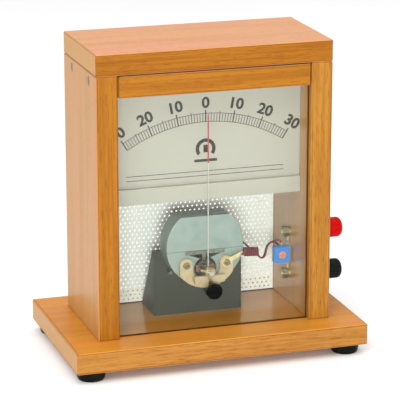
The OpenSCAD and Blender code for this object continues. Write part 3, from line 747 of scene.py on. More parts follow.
def revolved(
    name: str, profile: np.ndarray, axis: Axis, centre: Place, steps: int = 72
) -> bpy.types.Object:
    """A profile turned about an axis: place along the axis and distance from it.

    Args:
        name: The piece's name.
        profile: Array of n by 2, or of steps by n by 2 where it changes round the axis.
        axis: The axis that it turns about.
        centre: A point on the axis.
        steps: Stations round the axis.

    Returns:
        The piece, closed along its profile.
    """
    rings = np.broadcast_to(profile, (steps, *profile.shape[-2:]))
    along, radius = rings[..., 0], rings[..., 1]
    angle = np.linspace(0, 2 * np.pi, steps, endpoint=False)[:, None]
    points = np.empty((*along.shape, 3))
    points[..., axis.value] = along
    points[..., (axis.value + 1) % 3] = radius * np.cos(angle)
    points[..., (axis.value + 2) % 3] = radius * np.sin(angle)
    points = points.reshape(-1, 3) + np.asarray(centre)
    return mended(mesh_piece(name, points, grid_quads(steps, rings.shape[1], ring=True)))


def rounded_profile(corners: Sequence[Tuple[float, float, float]]) -> np.ndarray:
    """A closed outline whose corners are arcs of five points.

    Args:
        corners: Place along, distance from the axis, and radius of each corner.

    Returns:
        Array of n by 2 points: each arc is a quadratic curve between its tangent points.
    """
    table = np.asarray(corners, float)
    here, cut = table[:, :2], table[:, 2:]
    before, after = np.roll(here, 1, 0) - here, np.roll(here, -1, 0) - here
    start = here + before / np.linalg.norm(before, axis=1, keepdims=True) * cut
    finish = here + after / np.linalg.norm(after, axis=1, keepdims=True) * cut
    t = np.linspace(0, 1, 5)[None, :, None]
    curve = (1 - t) ** 2 * start[:, None] + 2 * t * (1 - t) * here[:, None] + t**2 * finish[:, None]
    return curve.reshape(-1, 2)


def rays(angle: np.ndarray) -> np.ndarray:
    """Unit vectors in the dial's plane, at angles from upright towards X."""
    return np.stack([np.sin(angle), 0 * angle, np.cos(angle)], -1)


def swept_box(
    name: str, path: np.ndarray, side: np.ndarray, half: Tuple[float, float]
) -> bpy.types.Object:
    """A strip of rectangular section carried along a path.

    Args:
        name: The piece's name.
        path: Array of n by 3 points.
        side: Array of n by 3 unit vectors across the strip's thickness.
        half: Half the thickness, and half the width, which lies along Y.

    Returns:
        The strip, with closed ends.
    """
    wall = side * half[0]
    across = np.array([0.0, half[1], 0.0])
    ring = [path - wall - across, path + wall - across, path + wall + across, path - wall + across]
    points = np.stack(ring, 1).reshape(-1, 3)
    return mended(mesh_piece(name, points, grid_quads(len(path), 4), smooth=False))


def boxes(
    name: str, centres: np.ndarray, halves: np.ndarray, axes: Optional[np.ndarray] = None
) -> bpy.types.Object:
    """Many small blocks in one piece.

    Args:
        name: The piece's name.
        centres: Array of n by 3 block centres.
        halves: Array of n by 3 half sizes along the block's edges.
        axes: Array of n by 3 by 3 unit vectors along those edges, where they aren't the frame's.

    Returns:
        The piece with all blocks: corner = centre plus or minus each half size along its vector.
    """
    if axes is None:
        axes = np.broadcast_to(np.eye(3), (len(centres), 3, 3))
    signs = np.array([[x, y, z] for z in (-1, 1) for y in (-1, 1) for x in (-1, 1)], float)
    corners = centres[:, None] + np.einsum("sk,nk,nkd->nsd", signs, halves, axes)
    faces = [[0, 2, 3, 1], [4, 5, 7, 6], [0, 1, 5, 4], [2, 6, 7, 3], [0, 4, 6, 2], [1, 3, 7, 5]]
    quads = (np.arange(len(centres))[:, None, None] * 8 + np.array(faces)).reshape(-1, 4)
    return mended(mesh_piece(name, corners.reshape(-1, 3), quads, smooth=False))


# ---------- Dressing ----------


def dress(piece: bpy.types.Object, finish: Finish) -> None:
    """Gives a piece its one material.

    Args:
        piece: The piece.
        finish: Its finish.
    """
    piece.data.materials.clear()
    piece.data.materials.append(material_of(finish))
    log.info("%s has its finish", piece.name)


def dress_nodes(finish: Finish, *names: str) -> None:
    """Gives CAD nodes one finish."""
    for name in names:
        dress(frame["nodes"][name], finish)


def settle(
    piece: bpy.types.Object,
    finish: Finish,
    body: str = "case",
    node: Optional[str] = None,
) -> None:
    """Dresses a new piece and gives it its place in the frame.

    Args:
        piece: The new piece.
        finish: Its finish.
        body: The body that it rides on.
        node: The CAD node that it stands for, if any.
    """
    dress(piece, finish)
    if node:
        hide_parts(node)
    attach(piece, body)
    log.info("%s rides on %s", piece.name, body)


def softened(
    node: str, name: str, width: float, finish: Finish, segments: int = 2
) -> None:
    """Puts a copy with rounded edges in a node's place, on the node's body.

    Args:
        node: The CAD node to copy.
        name: The new piece's name.
        width: Radius of the rounding, in millimetres.
        finish: The copy's finish.
        segments: Faces across each rounding.
    """
    source = frame["nodes"][node]
    piece = linked(name, source.data.copy())
    with reworked(piece.data) as work:
        bmesh.ops.remove_doubles(work, verts=work.verts, dist=WELD_COPY)
        bmesh.ops.dissolve_limit(
            work, angle_limit=FLAT, verts=work.verts, edges=work.edges, delimit={"NORMAL"}
        )
    faces = piece.data.polygons
    faces.foreach_set("use_smooth", np.ones(len(faces), bool))
    if piece.data.has_custom_normals:
        piece.data.attributes.remove(piece.data.attributes["custom_normal"])
    bevel = piece.modifiers.new("rounding", "BEVEL")
    bevel.width = width * MM
    bevel.segments = segments
    bevel.limit_method = "ANGLE"
    bevel.angle_limit = SHARP
    piece.modifiers.new("flats", "WEIGHTED_NORMAL").keep_sharp = True
    settle(piece, finish, source["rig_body"], node)


# ---------- Studio ----------


@dataclass(frozen=True)
class SoftLight:
    """A square light: where it hangs, where it looks, its edge and its power in watts."""

    name: str
    at: Place
    target: Place
    size: float
    watts: float

    def build(self) -> None:
        """Hangs the light and turns it to its target."""
        data = bpy.data.lights.new(self.name, "AREA")
        data.size = self.size
        data.energy = self.watts
        light = linked(self.name, data)
        light.location = self.at
        aim = Vector(self.target) - Vector(self.at)
        light.rotation_euler = aim.to_track_quat("-Z", "Y").to_euler()


@dataclass
class Studio:
    """White room, pale floor, soft lights and the camera."""

    camera_at: Place = (-0.5644, -1.7622, 0.6476)
    camera_tilt: float = 74.21
    camera_turn: float = -17.83
    lens: float = 207.3
    room_strength: float = 0.76
    floor_size: float = 12.0
    lights: Tuple[SoftLight, ...] = (
        SoftLight("ceiling_light", (0.2, 0.1, 2.2), (0.0, 0.0, 0.0), 2.4, 26.0),
        SoftLight("key_light", (-1.30, -1.60, 1.95), (0.0, 0.0, 0.13), 1.0, 27.0),
        SoftLight("low_front_light", (-0.75, -2.55, 0.40), (0.0, 0.0, 0.10), 0.7, 54.0),
    )

    def build(self) -> None:
        """Sets up the room, the floor, the lights and the camera."""
        bpy.context.scene.view_settings.view_transform = "Standard"
        self._room()
        self._floor()
        for light in self.lights:
            light.build()
        self._camera()

    def _room(self) -> None:
        """A world of one even white."""
        world = bpy.data.worlds.new("white_room")
        world.use_nodes = True
        background = world.node_tree.nodes["Background"]
        background.inputs["Color"].default_value = (1.0, 1.0, 1.0, 1.0)
        background.inputs["Strength"].default_value = self.room_strength
        bpy.context.scene.world = world

    def _floor(self) -> None:
        """A wide floor of one pale tone."""
        corners = np.array([[-1, -1, 0], [1, -1, 0], [1, 1, 0], [-1, 1, 0]]) * self.floor_size / 2
        floor = mesh_piece("floor", corners, np.array([[0, 1, 2, 3]]), smooth=False)
        dress(floor, FloorFinish("floor_white"))

    def _camera(self) -> None:
        """The camera, a long lens to the left of the front and above it."""
        data = bpy.data.cameras.new("camera")
        data.sensor_width = 36.0
        data.lens = self.lens
        data.clip_end = 50.0
        camera = linked("camera", data)
        camera.location = self.camera_at
        tilt, turn = math.radians(self.camera_tilt), math.radians(self.camera_turn)
        camera.rotation_euler = (tilt, 0.0, turn)
        bpy.context.scene.camera = camera


# ---------- Leads, trimmer and lugs ----------


@dataclass
class Wiring:
    """Two insulated leads, their solder joints, the trimmer and the lugs."""

    lead_d: float = 1.4
    turns: int = 7
    turn_points: int = 14
    turn_r: float = 3.3
    wound_a: Place = (36, -16, 80.5)
    wound_b: Place = (49, -12, 78.5)
    red_in: Tuple[Place, ...] = (
        (29.5, -26.8, 81.3), (31.7, -26.8, 82.3), (33.9, -25.6, 83.2), (35.2, -22.5, 84.2),
        (35.7, -19, 84.4),
    )
    red_out: Tuple[Place, ...] = (
        (49.9, -9.6, 81.2), (50.6, -8.0, 78.5), (51.4, -7.6, 75.0), (52.8, -7.4, 71.9),
        (55.4, -7, 70.6), (58, -6.4, 71.9), (59.3, -5.7, 75.2), (60.5, -5.2, 79),
        (63.2, -4.6, 82.4), (66.8, -4.3, 83.8), (70.3, -4.05, 84.2), (71.9, -4, 83.77),
        (73.07, -4, 82.6), (73.5, -4, 80.7),
    )
    black_path: Tuple[Place, ...] = (
        (22.5, 13, 71.5), (24, 13, 76), (26, 12, 81.5), (29.5, 8.5, 86), (33.5, 3.5, 88),
        (36.8, -2, 87.2), (39.8, -6.5, 84.5), (43.5, -7.6, 81), (47.5, -6.6, 77.4),
        (51.2, -5.4, 73.8), (54.3, -4.2, 70.6), (57, -3, 69.8), (59.5, -1.5, 72.5),
        (61.5, 0, 77.5), (64.5, 1.5, 80.2), (69, 3, 80.6), (73, 4.2, 78), (75.5, 4.8, 72),
        (77, 4.2, 66.5), (78.2, 2.4, 62.8), (80, 1, 61.8),
    )
    trimmer_z: float = 71.5
    trimmer_half: float = 7.05

    def build_leads(self) -> None:
        """Lays both leads along their routes, as smooth curves."""
        maroon = PlasticFinish(
            "lead_sleeve_maroon", (0.155, 0.018, 0.034), (0.26, 0.05, 0.075), 0.3, 1200.0
        )
        black = PlasticFinish(
            "lead_sleeve_black", (0.03, 0.012, 0.014), (0.06, 0.03, 0.03), 0.3, 1200.0
        )
        red_path = np.concatenate([np.array(self.red_in), self._helix(), np.array(self.red_out)])
        self._lead("red_wire", red_path, "red_lead", maroon)
        self._lead("black_wire", np.array(self.black_path), "black_lead", black)

    def build(self) -> None:
        """Adds the solder joints, and the trimmer and the lugs with their finishes."""
        self._solder()
        blue = TrimmerFinish("trimmer_blue_plastic", self.trimmer_z * MM, self.trimmer_half * MM)
        orange = PlasticFinish(
            "trimmer_orange_plastic", (0.62, 0.24, 0.16), (0.70, 0.36, 0.28), 0.35, 1400.0
        )
        lug = MetalFinish("lug_brass", (0.78, 0.66, 0.38), (0.55, 0.42, 0.20), 0.28, 300.0)
        softened("trimmer_body", "trimmer_case", 0.35, blue)
        dress_nodes(orange, "trimmer_rotor")
        dress_nodes(lug, "bridge_lug", "rear_lug", "solder_lugs")

    def _helix(self) -> np.ndarray:
        """The wound part: a circle of turn_r that moves from wound_a to wound_b.

        Returns:
            Array of n by 3 places, in millimetres.
        """
        share = np.linspace(0.0, 1.0, self.turns * self.turn_points + 1)[:, None]
        angle = np.pi / 2 - 2 * np.pi * self.turns * share
        ring = np.concatenate([0 * angle, np.cos(angle), np.sin(angle)], 1)
        start, end = np.array(self.wound_a, float), np.array(self.wound_b, float)
        return start + (end - start) * share + self.turn_r * ring

    def _lead(self, name: str, path: np.ndarray, node: str, finish: Finish) -> None:
        """One lead: a round curve through its points.

        Args:
            name: The piece's name.
            path: Array of n by 3 places along the lead, in millimetres.
            node: The CAD node that it replaces.
            finish: The finish of its sleeve.
        """
        points = path * MM
        curve = bpy.data.curves.new(name, "CURVE")
        curve.dimensions = "3D"
        curve.bevel_depth = self.lead_d / 2 * MM
        curve.bevel_resolution = 3
        curve.resolution_u = 5
        curve.use_fill_caps = True
        spline = curve.splines.new("BEZIER")
        spline.bezier_points.add(len(points) - 1)
        spline.bezier_points.foreach_set("co", points.ravel())
        for knot in spline.bezier_points:
            knot.handle_left_type = knot.handle_right_type = "AUTO"
        piece = linked(name, curve)
        bpy.context.view_layer.update()
        settle(piece, finish, node=node)

    def _solder(self) -> None:
        """Lumps of solder on the lead ends: spheres with three shallow swellings."""
        ends = [self.red_in[0], self.red_out[-1], self.black_path[0], self.black_path[-1]]
        places = np.array(ends) * MM
        radii = np.array([1.3, 1.15, 1.2, 1.1]) * MM
        rows, columns = 16, 24
        polar = np.linspace(0, np.pi, rows)[:, None]
        round_ = np.linspace(0, 2 * np.pi, columns, endpoint=False)[None, :]
        swell = 1 + 0.12 * np.sin(polar) ** 2 * np.sin(3 * round_ + 0.7)
        x = swell * np.sin(polar) * np.cos(round_)
        y = swell * np.sin(polar) * np.sin(round_)
        lump = np.stack([x, y, 0.9 * np.cos(polar) + 0 * round_], -1).reshape(-1, 3)
        points = (places[:, None] + radii[:, None, None] * lump[None]).reshape(-1, 3)
        first = np.arange(len(places))[:, None, None] * rows * columns
        quads = (first + grid_quads(rows, columns)).reshape(-1, 4)
        solder = MetalFinish("solder", (0.72, 0.72, 0.70), (0.45, 0.45, 0.44), 0.25, 500.0, 0.4)
        settle(mended(mesh_piece("solder_joints", points, quads)), solder)


# ---------- Case ----------


@dataclass
class Case:
    """The wooden boards, their screws and the rubber feet."""

    foot_r: float = 12.0
    foot_h: float = 8.5
    foot_hole_r: float = 4.6
    foot_recess: float = 3.0
    foot_shank_r: float = 1.93
    foot_x: float = 110.0
    foot_y: float = 61.0

    def build(self) -> None:
        """Dresses every board and fastener, and builds the feet."""
        self._board(
            "base_board", Axis.X, Axis.Z, 0.0, laminate=(0.58, 0.245, 0.026),
            band=(0.385, 0.173, 0.033), varnished=True, seam=(0.1238, 0.0738),
        )
        self._board("left_side_panel", Axis.Z, Axis.X, 3.1, varnished=True)
        # Painted light: the right panel's band is lighter and bluer than the others, for the light on
        # its edge.
        self._board(
            "right_side_panel", Axis.Z, Axis.X, 7.7, band=(0.37, 0.168, 0.021), varnished=True
        )
        # Painted light and shade: the top board's laminate is lighter and bluer for the light and
        # sheen on its top face, and its band darker for its front edge in shade.
        self._board(
            "top_board", Axis.X, Axis.Z, 12.4, laminate=(0.60, 0.285, 0.12),
            band=(0.305, 0.113, 0.0048),
        )
        self._board("inner_top_board", Axis.X, Axis.Z, 17.9)
        self._board("top_dowels", Axis.Z, Axis.X, 21.3)
        bronze = MetalFinish("bronzed_screw", (0.36, 0.25, 0.16), (0.22, 0.16, 0.11), 0.35, 500.0)
        zinc = MetalFinish("zinc_screw", (0.72, 0.73, 0.72), (0.50, 0.50, 0.48), 0.28, 400.0)
        dress_nodes(bronze, "side_screws", "base_screws")
        dress_nodes(zinc, "foot_screws", "back_panel_screws")
        self._feet()

    def _board(self, node: str, grain: Axis, flat: Axis, shift: float, **looks: Any) -> None:
        """Finishes one board.

        Args:
            node: The CAD node.
            grain: The axis that the grain runs along.
            flat: The axis that the flat faces look along.
            shift: The part of the pattern that this board shows.
            **looks: The board's colours, varnish and seam, where they differ; some of the colours
            hold painted light and shade.
        """
        low, high = (corner[flat.value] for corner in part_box(node))
        dress_nodes(BoardFinish(node + "_beech", grain, flat, low, high, shift, **looks), node)

    def _feet(self) -> None:
        """Four turned rubber feet with rounded lower edges and a recess for the screw."""
        h, r, hole = self.foot_h * MM, self.foot_r * MM, self.foot_hole_r * MM
        shank, recess = self.foot_shank_r * MM, self.foot_recess * MM
        profile = rounded_profile([
            (0.0, hole, 0.0003), (0.0, r - 1.4 * MM, 0.0013), (h * 0.35, r - 0.35 * MM, 0.001),
            (h, r, 0.0004), (h, shank, 0.0), (recess, shank, 0.0), (recess, hole, 0.0004),
        ])
        feet = [
            revolved("foot", profile, Axis.Z, (x * self.foot_x * MM, y * self.foot_y * MM, 0.0))
            for x in (-1, 1)
            for y in (-1, 1)
        ]
        rubber = PlasticFinish(
            "black_rubber", (0.003, 0.004, 0.003), (0.009, 0.010, 0.008), 0.28, 1800.0, 0.00003, 0.07
        )
        settle(joined("turned_feet", feet), rubber, node="rubber_feet")


# ---------- Glass, dial and perforated sheet ----------


@dataclass
class Window:
    """The front glass, and thin dark strips of painted shadow.

    They lie at the glass's foot and sides, at the sheet's foot and in the gap over the rail, and
    stand for the shade in these gaps.
    """

    bead: float = 0.7
    inner_x: float = 82.0
    sheet_y: float = 39.5
    rail_bead_y: float = 0.5
    rail_bead_fill: float = 0.48

    def build(self) -> None:
        """Dresses the glass, and lays the strips of painted shadow."""
        dress_nodes(GlassFinish("window_pane"), "front_glass")
        base_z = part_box("base_board")[1].z
        rail, rail_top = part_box("inner_top_board")
        board_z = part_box("top_board")[0].z
        half = self.bead / 2 * MM
        x = self.inner_x * MM
        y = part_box("front_glass")[0].y - half
        foot_y = self.sheet_y * MM - half
        middle, tall = (base_z + rail.z) / 2, (rail.z - base_z) / 2
        centres = np.array([
            [0.0, y, base_z + half], [0.0, foot_y, base_z + half],
            [half - x, y, middle], [x - half, y, middle],
            [0.0, rail.y + self.rail_bead_y * MM, (rail_top.z + board_z) / 2],
        ])
        halves = np.array([
            [x, half, half], [x, half, half], [half, half, tall], [half, half, tall],
            [x, half, (board_z - rail_top.z) * self.rail_bead_fill],
        ])
        # Painted shadow: dark strips stand for the shade in the gaps round the glass, under the sheet
        # and over the rail.
        brown = PlasticFinish("painted_shadow_brown_black", (0.040, 0.012, 0.004), (0.060, 0.022, 0.008), 0.5)
        settle(boxes("painted_shadow_strips", centres, halves), brown)


@dataclass
class Dial:
    """The scale plate and its print, which stands proud by ink and reaches into the plate by sink."""

    centre_z: float = 71.5
    plate_set_back: float = 3.5
    inner_r: float = 125.5
    outer_r: float = 132.5
    five_r: float = 134.0
    ten_r: float = 135.4
    unit: float = 1.07
    ends: int = 30
    unit_half: float = 0.235
    five_half: float = 0.30
    ten_half: float = 0.47
    arc_half: float = 0.22
    numeral_r: float = 137.4
    numeral_h: float = 8.7
    numeral_stretch: float = 1.06
    numeral_weight: float = 0.034
    arch_z: float = 174.3
    arch_r: float = 7.1
    arch_half: float = 1.5
    arch_reach: float = 128.0
    mark_z: Tuple[float, ...] = (174.3, 164.4, 155.4, 151.6)
    mark_half_x: Tuple[float, ...] = (1.9, 9.8, 68.0, 68.0)
    mark_half_z: Tuple[float, ...] = (3.2, 1.15, 0.25, 0.25)
    ink: float = 0.04
    sink: float = 0.02

    @property
    def depth(self) -> float:
        """Half the print's depth along Y, in metres."""
        return (self.ink + self.sink) / 2 * MM

    @property
    def middle(self) -> np.ndarray:
        """The pivot's place in the print's middle plane, in metres."""
        face_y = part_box("scale_plate")[0].y + self.plate_set_back * MM
        return np.array([0.0, face_y + (self.sink - self.ink) / 2 * MM, self.centre_z * MM])

    def build(self) -> None:
        """Dresses the plate and prints the scale, the numerals and the symbol."""
        enamel = PaintFinish(
            "dial_enamel", (0.392, 0.374, 0.337), (0.376, 0.360, 0.325), 0.42, 700.0, 0.00003, 25.0
        )
        black = PaintFinish("dial_ink", (0.004, 0.005, 0.003), (0.010, 0.011, 0.008), 0.6, 1500.0)
        dress_nodes(enamel, "scale_plate")
        for piece in (self._scale(), self._numerals(), self._symbol()):
            settle(piece, black)

    def _scale(self) -> bpy.types.Object:
        """Two arcs and a tick for each unit, longer at each five and ten.

        The ticks are blocks along radii, and each arc is a strip along its circle.

        Returns:
            The scale as one piece.
        """
        units = np.arange(-self.ends, self.ends + 1)
        ten, five = units % 10 == 0, units % 5 == 0
        high = np.where(ten, self.ten_r, np.where(five, self.five_r, self.outer_r)) * MM
        low = np.full_like(high, self.inner_r * MM)
        half = np.where(ten, self.ten_half, np.where(five, self.five_half, self.unit_half)) * MM
        angle = np.radians(self.unit * units)
        along = rays(angle)
        across = np.stack([np.cos(angle), 0 * angle, -np.sin(angle)], -1)
        through = np.broadcast_to(np.array([0.0, 1.0, 0.0]), along.shape)
        centres = self.middle + ((low + high) / 2)[:, None] * along
        halves = np.stack([half, np.full_like(half, self.depth), (high - low) / 2], -1)
        parts = [boxes("ticks", centres, halves, np.stack([across, through, along], 1))]
        end = self.unit * self.ends
        outward = rays(np.radians(np.linspace(-end, end, 181)))
        for radius in (self.inner_r, self.outer_r):
            path = self.middle + radius * MM * outward
            parts.append(swept_box("arc", path, outward, (self.arc_half * MM, self.depth)))
        return joined("dial_scale", parts)

    def _numerals(self) -> bpy.types.Object:
        """The numbers 30, 20, 10 and 0 on each side, upright on their radii.

        Returns:
            One piece with all numbers.
        """
        tens = range(-self.ends, self.ends + 1, 10)
        parts = [self._numeral(str(abs(ten)), math.radians(self.unit * ten)) for ten in tens]
        return joined("dial_numerals", parts)

    def _numeral(self, text: str, angle: float) -> bpy.types.Object:
        """One number as a thin solid, turned to its place on the dial.

        Args:
            text: The number.
            angle: Its angle from upright, in radians.

        Returns:
            The solid.
        """
        digit_h = 0.70
        size = self.numeral_h / digit_h * MM
        font = bpy.data.curves.new("numeral", "FONT")
        font.body = text
        font.size = size
        font.align_x = "CENTER"
        font.offset = self.numeral_weight * size
        font.extrude = self.depth
        font.resolution_u = 6
        holder = linked("numeral", font)
        bpy.context.view_layer.update()
        evaluated = holder.evaluated_get(bpy.context.evaluated_depsgraph_get())
        mesh = bpy.data.meshes.new_from_object(evaluated)
        bpy.data.objects.remove(holder)
        stretch = Matrix.Diagonal((self.numeral_stretch, 1.0, 1.0, 1.0))
        lift = Matrix.Translation((0.0, self.numeral_r * MM, 0.0)) @ stretch
        stand = Matrix.Rotation(angle, 4, "Y") @ Matrix.Rotation(math.pi / 2, 4, "X")
        mesh.transform(Matrix.Translation(self.middle) @ stand @ lift)
        return mended(linked("numeral", mesh))

    def _symbol(self) -> bpy.types.Object:
        """The usual sign of a moving coil, a magnet's arch round a coil, over a bar and rules.

        Returns:
            The symbol, the bar and the two rules as one piece.
        """
        outward = rays(np.radians(np.linspace(-self.arch_reach, self.arch_reach, 49)))
        centre = np.array([0.0, self.middle[1], self.arch_z * MM])
        path = centre + self.arch_r * MM * outward
        arch = swept_box("arch", path, outward, (self.arch_half * MM, self.depth))
        none = np.zeros(len(self.mark_z))
        places = np.stack([none, none + self.middle[1], np.array(self.mark_z) * MM], -1)
        wide, tall = np.array(self.mark_half_x) * MM, np.array(self.mark_half_z) * MM
        marks = boxes("marks", places, np.stack([wide, none + self.depth, tall], -1))
        return joined("dial_symbol", [arch, marks])


@dataclass
class PerforatedSheet:
    """The white sheet at the back: round holes in staggered rows, and folded edges."""

    pitch: float = 4.1
    hole_r: float = 0.9
    margin: float = 1.6
    thickness: float = 1.0

    def build(self) -> None:
        """Builds the sheet, gives it its wall and dresses it."""
        low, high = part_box("back_panel")
        piece = mesh_piece("perforated_sheet", *self._cells(low, high), smooth=False)
        self._fold(piece, low, high)
        wall = piece.modifiers.new("wall", "SOLIDIFY")
        wall.thickness = self.thickness * MM
        wall.offset = -1.0
        wall.use_even_offset = True
        enamel = PaintFinish(
            "sheet_enamel", (0.92, 0.965, 0.955), (0.90, 0.94, 0.93), 0.4, 900.0, 0.00004, 20.0
        )
        settle(piece, enamel, node="back_panel")

    def _cells(self, low: Vector, high: Vector) -> Tuple[np.ndarray, np.ndarray, np.ndarray]:
        """Six-sided cells on a staggered lattice, cut off at the sheet's edges.

        A cell inside the margin is 18 triangles round a hole of 12 corners, and any other is one
        face.

        Args:
            low: The sheet's lowest corner.
            high: The sheet's highest corner.

        Returns:
            The points, the corners of the faces, and the size of each face.
        """
        pitch = self.pitch * MM
        row_gap = pitch * math.sqrt(3) / 2
        middle = np.array([(low.x + high.x) / 2, (low.z + high.z) / 2])
        half = np.array([(high.x - low.x) / 2, (high.z - low.z) / 2])
        rows, columns = int(half[1] / row_gap) + 2, int(half[0] / pitch) + 2
        j, i = np.mgrid[-rows : rows + 1, -columns : columns + 1]
        centre = np.stack([(i + 0.5 * (j % 2)) * pitch, j * row_gap], -1).reshape(-1, 2)
        sides, rim = 6, 12
        cell = sides + rim
        hex_angle = np.radians(np.arange(sides) * 60 + 30)
        hole_angle = np.radians(np.arange(rim) * 30)
        hexagon = np.stack([np.cos(hex_angle), np.sin(hex_angle)], -1) * pitch / math.sqrt(3)
        circle = np.stack([np.cos(hole_angle), np.sin(hole_angle)], -1) * self.hole_r * MM
        outer = np.clip(centre[:, None] + hexagon, -half, half)
        inner = centre[:, None] + circle
        pierced = np.all(np.abs(centre) < half - self.margin * MM, axis=1)
        x, z = outer[..., 0], outer[..., 1]
        area = np.abs(np.sum(x * np.roll(z, -1, 1) - z * np.roll(x, -1, 1), 1)) / 2
        blind = ~pierced & (area > 1e-9)
        rims = np.concatenate([outer, inner], 1)[pierced].reshape(-1, 2)
        flat = np.concatenate([rims, outer[blind].reshape(-1, 2)])
        k = np.arange(sides)
        here, mid, after = (sides + (2 * k + n) % rim for n in range(3))
        fan = np.concatenate([
            np.stack([k, mid, here], -1),
            np.stack([k, after, mid], -1),
            np.stack([k, (k + 1) % sides, after], -1),
        ])
        holes, plain = pierced.sum(), blind.sum()
        corners = np.concatenate([
            (np.arange(holes)[:, None, None] * cell + fan).reshape(-1),
            holes * cell + np.arange(plain * sides),
        ])
        sizes = np.concatenate([np.full(holes * len(fan), 3), np.full(plain, sides)])
        x, z = flat[:, 0] + middle[0], flat[:, 1] + middle[1]
        return np.stack([x, np.full(len(flat), low.y), z], -1), corners, sizes

    def _fold(self, piece: bpy.types.Object, low: Vector, high: Vector) -> None:
        """Welds the cells, and folds a strip to the back along the left and right edges.

        Args:
            piece: The sheet.
            low: The sheet's lowest corner.
            high: The sheet's highest corner.
        """
        with reworked(piece.data) as work:
            bmesh.ops.remove_doubles(work, verts=work.verts, dist=WELD_CELLS)
            bmesh.ops.dissolve_degenerate(work, edges=work.edges, dist=WELD_NEW)
            rim = [
                edge for edge in work.edges
                if edge.is_boundary
                and all(min(abs(v.co.x - low.x), abs(v.co.x - high.x)) < WELD_COPY for v in edge.verts)
            ]
            strip = bmesh.ops.extrude_edge_only(work, edges=rim)
            moved = [v for v in strip["geom"] if isinstance(v, bmesh.types.BMVert)]
            bmesh.ops.translate(work, verts=moved, vec=(0.0, high.y - low.y, 0.0))
            bmesh.ops.recalc_face_normals(work, faces=work.faces)
            front = max(work.faces, key=lambda face: abs(face.normal.y) * face.calc_area())
            if front.normal.y > 0:
                bmesh.ops.reverse_faces(work, faces=work.faces)


# ---------- Magnet and movement ----------


@dataclass
class Magnet:
    """The magnet drum, its core and the painted bracket."""

    edge: float = 0.5

    def build(self) -> None:
        """Rounds and dresses the magnet's parts."""
        black = PaintFinish(
            "hammered_black_paint", (0.013, 0.020, 0.011), (0.017, 0.025, 0.014), 0.44, 420.0, 0.00002
        )
        plating = MetalFinish(
            "drum_plating", (0.288, 0.357, 0.342), (0.222, 0.282, 0.271), 0.38, 60.0, 0.6, 0.55
        )
        iron = MetalFinish("core_iron_finish", (0.16, 0.16, 0.15), (0.08, 0.07, 0.06), 0.4, 300.0)
        brass = MetalFinish("bar_brass", (0.21, 0.24, 0.19), (0.12, 0.14, 0.11), 0.35, 200.0)
        steel = MetalFinish(
            "magnet_screw_steel", (0.22, 0.24, 0.22), (0.13, 0.14, 0.12), 0.3, 400.0
        )
        for node, name, finish, slot in (
            ("magnet_bracket", "bracket_body", black, "bracket_paint"),
            ("magnet_block", "magnet_body", plating, "magnet_paint"),
            ("pole_piece_left", "left_pole", plating, "magnet_paint"),
            ("pole_piece_right", "right_pole", plating, "magnet_paint"),
        ):
            softened(node, name, self.edge, finish)
        dress_nodes(iron, "iron_core")
        dress_nodes(brass, "core_bar")
        dress_nodes(steel, "magnet_screws", "bracket_screws")


@dataclass(frozen=True)
class Hairspring:
    """A flat spiral strip and its straight outer end, which starts a little inside the spiral."""

    y: float
    turn: float
    reach: float
    inner_r: float = 2.0
    outer_r: float = 6.6
    turns: int = 5
    turn_points: int = 64
    width: float = 0.56
    thickness: float = 0.16
    tail_thickness: float = 0.5
    overlap: float = 0.05
    axis_z: float = 71.5

    def build(self, name: str) -> bpy.types.Object:
        """Builds the strip: a radius that grows evenly with the angle, then a straight run.

        Args:
            name: The piece's name.

        Returns:
            The strip, not yet dressed.
        """
        share = np.linspace(0.0, 1.0, self.turns * self.turn_points + 1)
        radius = self.inner_r + (self.outer_r - self.inner_r) * share
        angle = math.radians(self.turn) + 2 * np.pi * self.turns * share
        outward = np.stack([np.cos(angle), 0 * angle, np.sin(angle)], -1)
        centre = np.array([0.0, self.y, self.axis_z])
        spiral = (centre + radius[:, None] * outward) * MM
        half_y = self.width / 2 * MM
        coil = swept_box(name + "_coil", spiral, outward, (self.thickness / 2 * MM, half_y))
        out = outward[-1]
        run = (centre + out * np.array([[self.outer_r - self.overlap], [self.reach]])) * MM
        upright = np.array([[-out[2], 0.0, out[0]]] * 2)
        tail = swept_box(name + "_tail", run, upright, (self.tail_thickness / 2 * MM, half_y))
        return joined(name, [coil, tail])


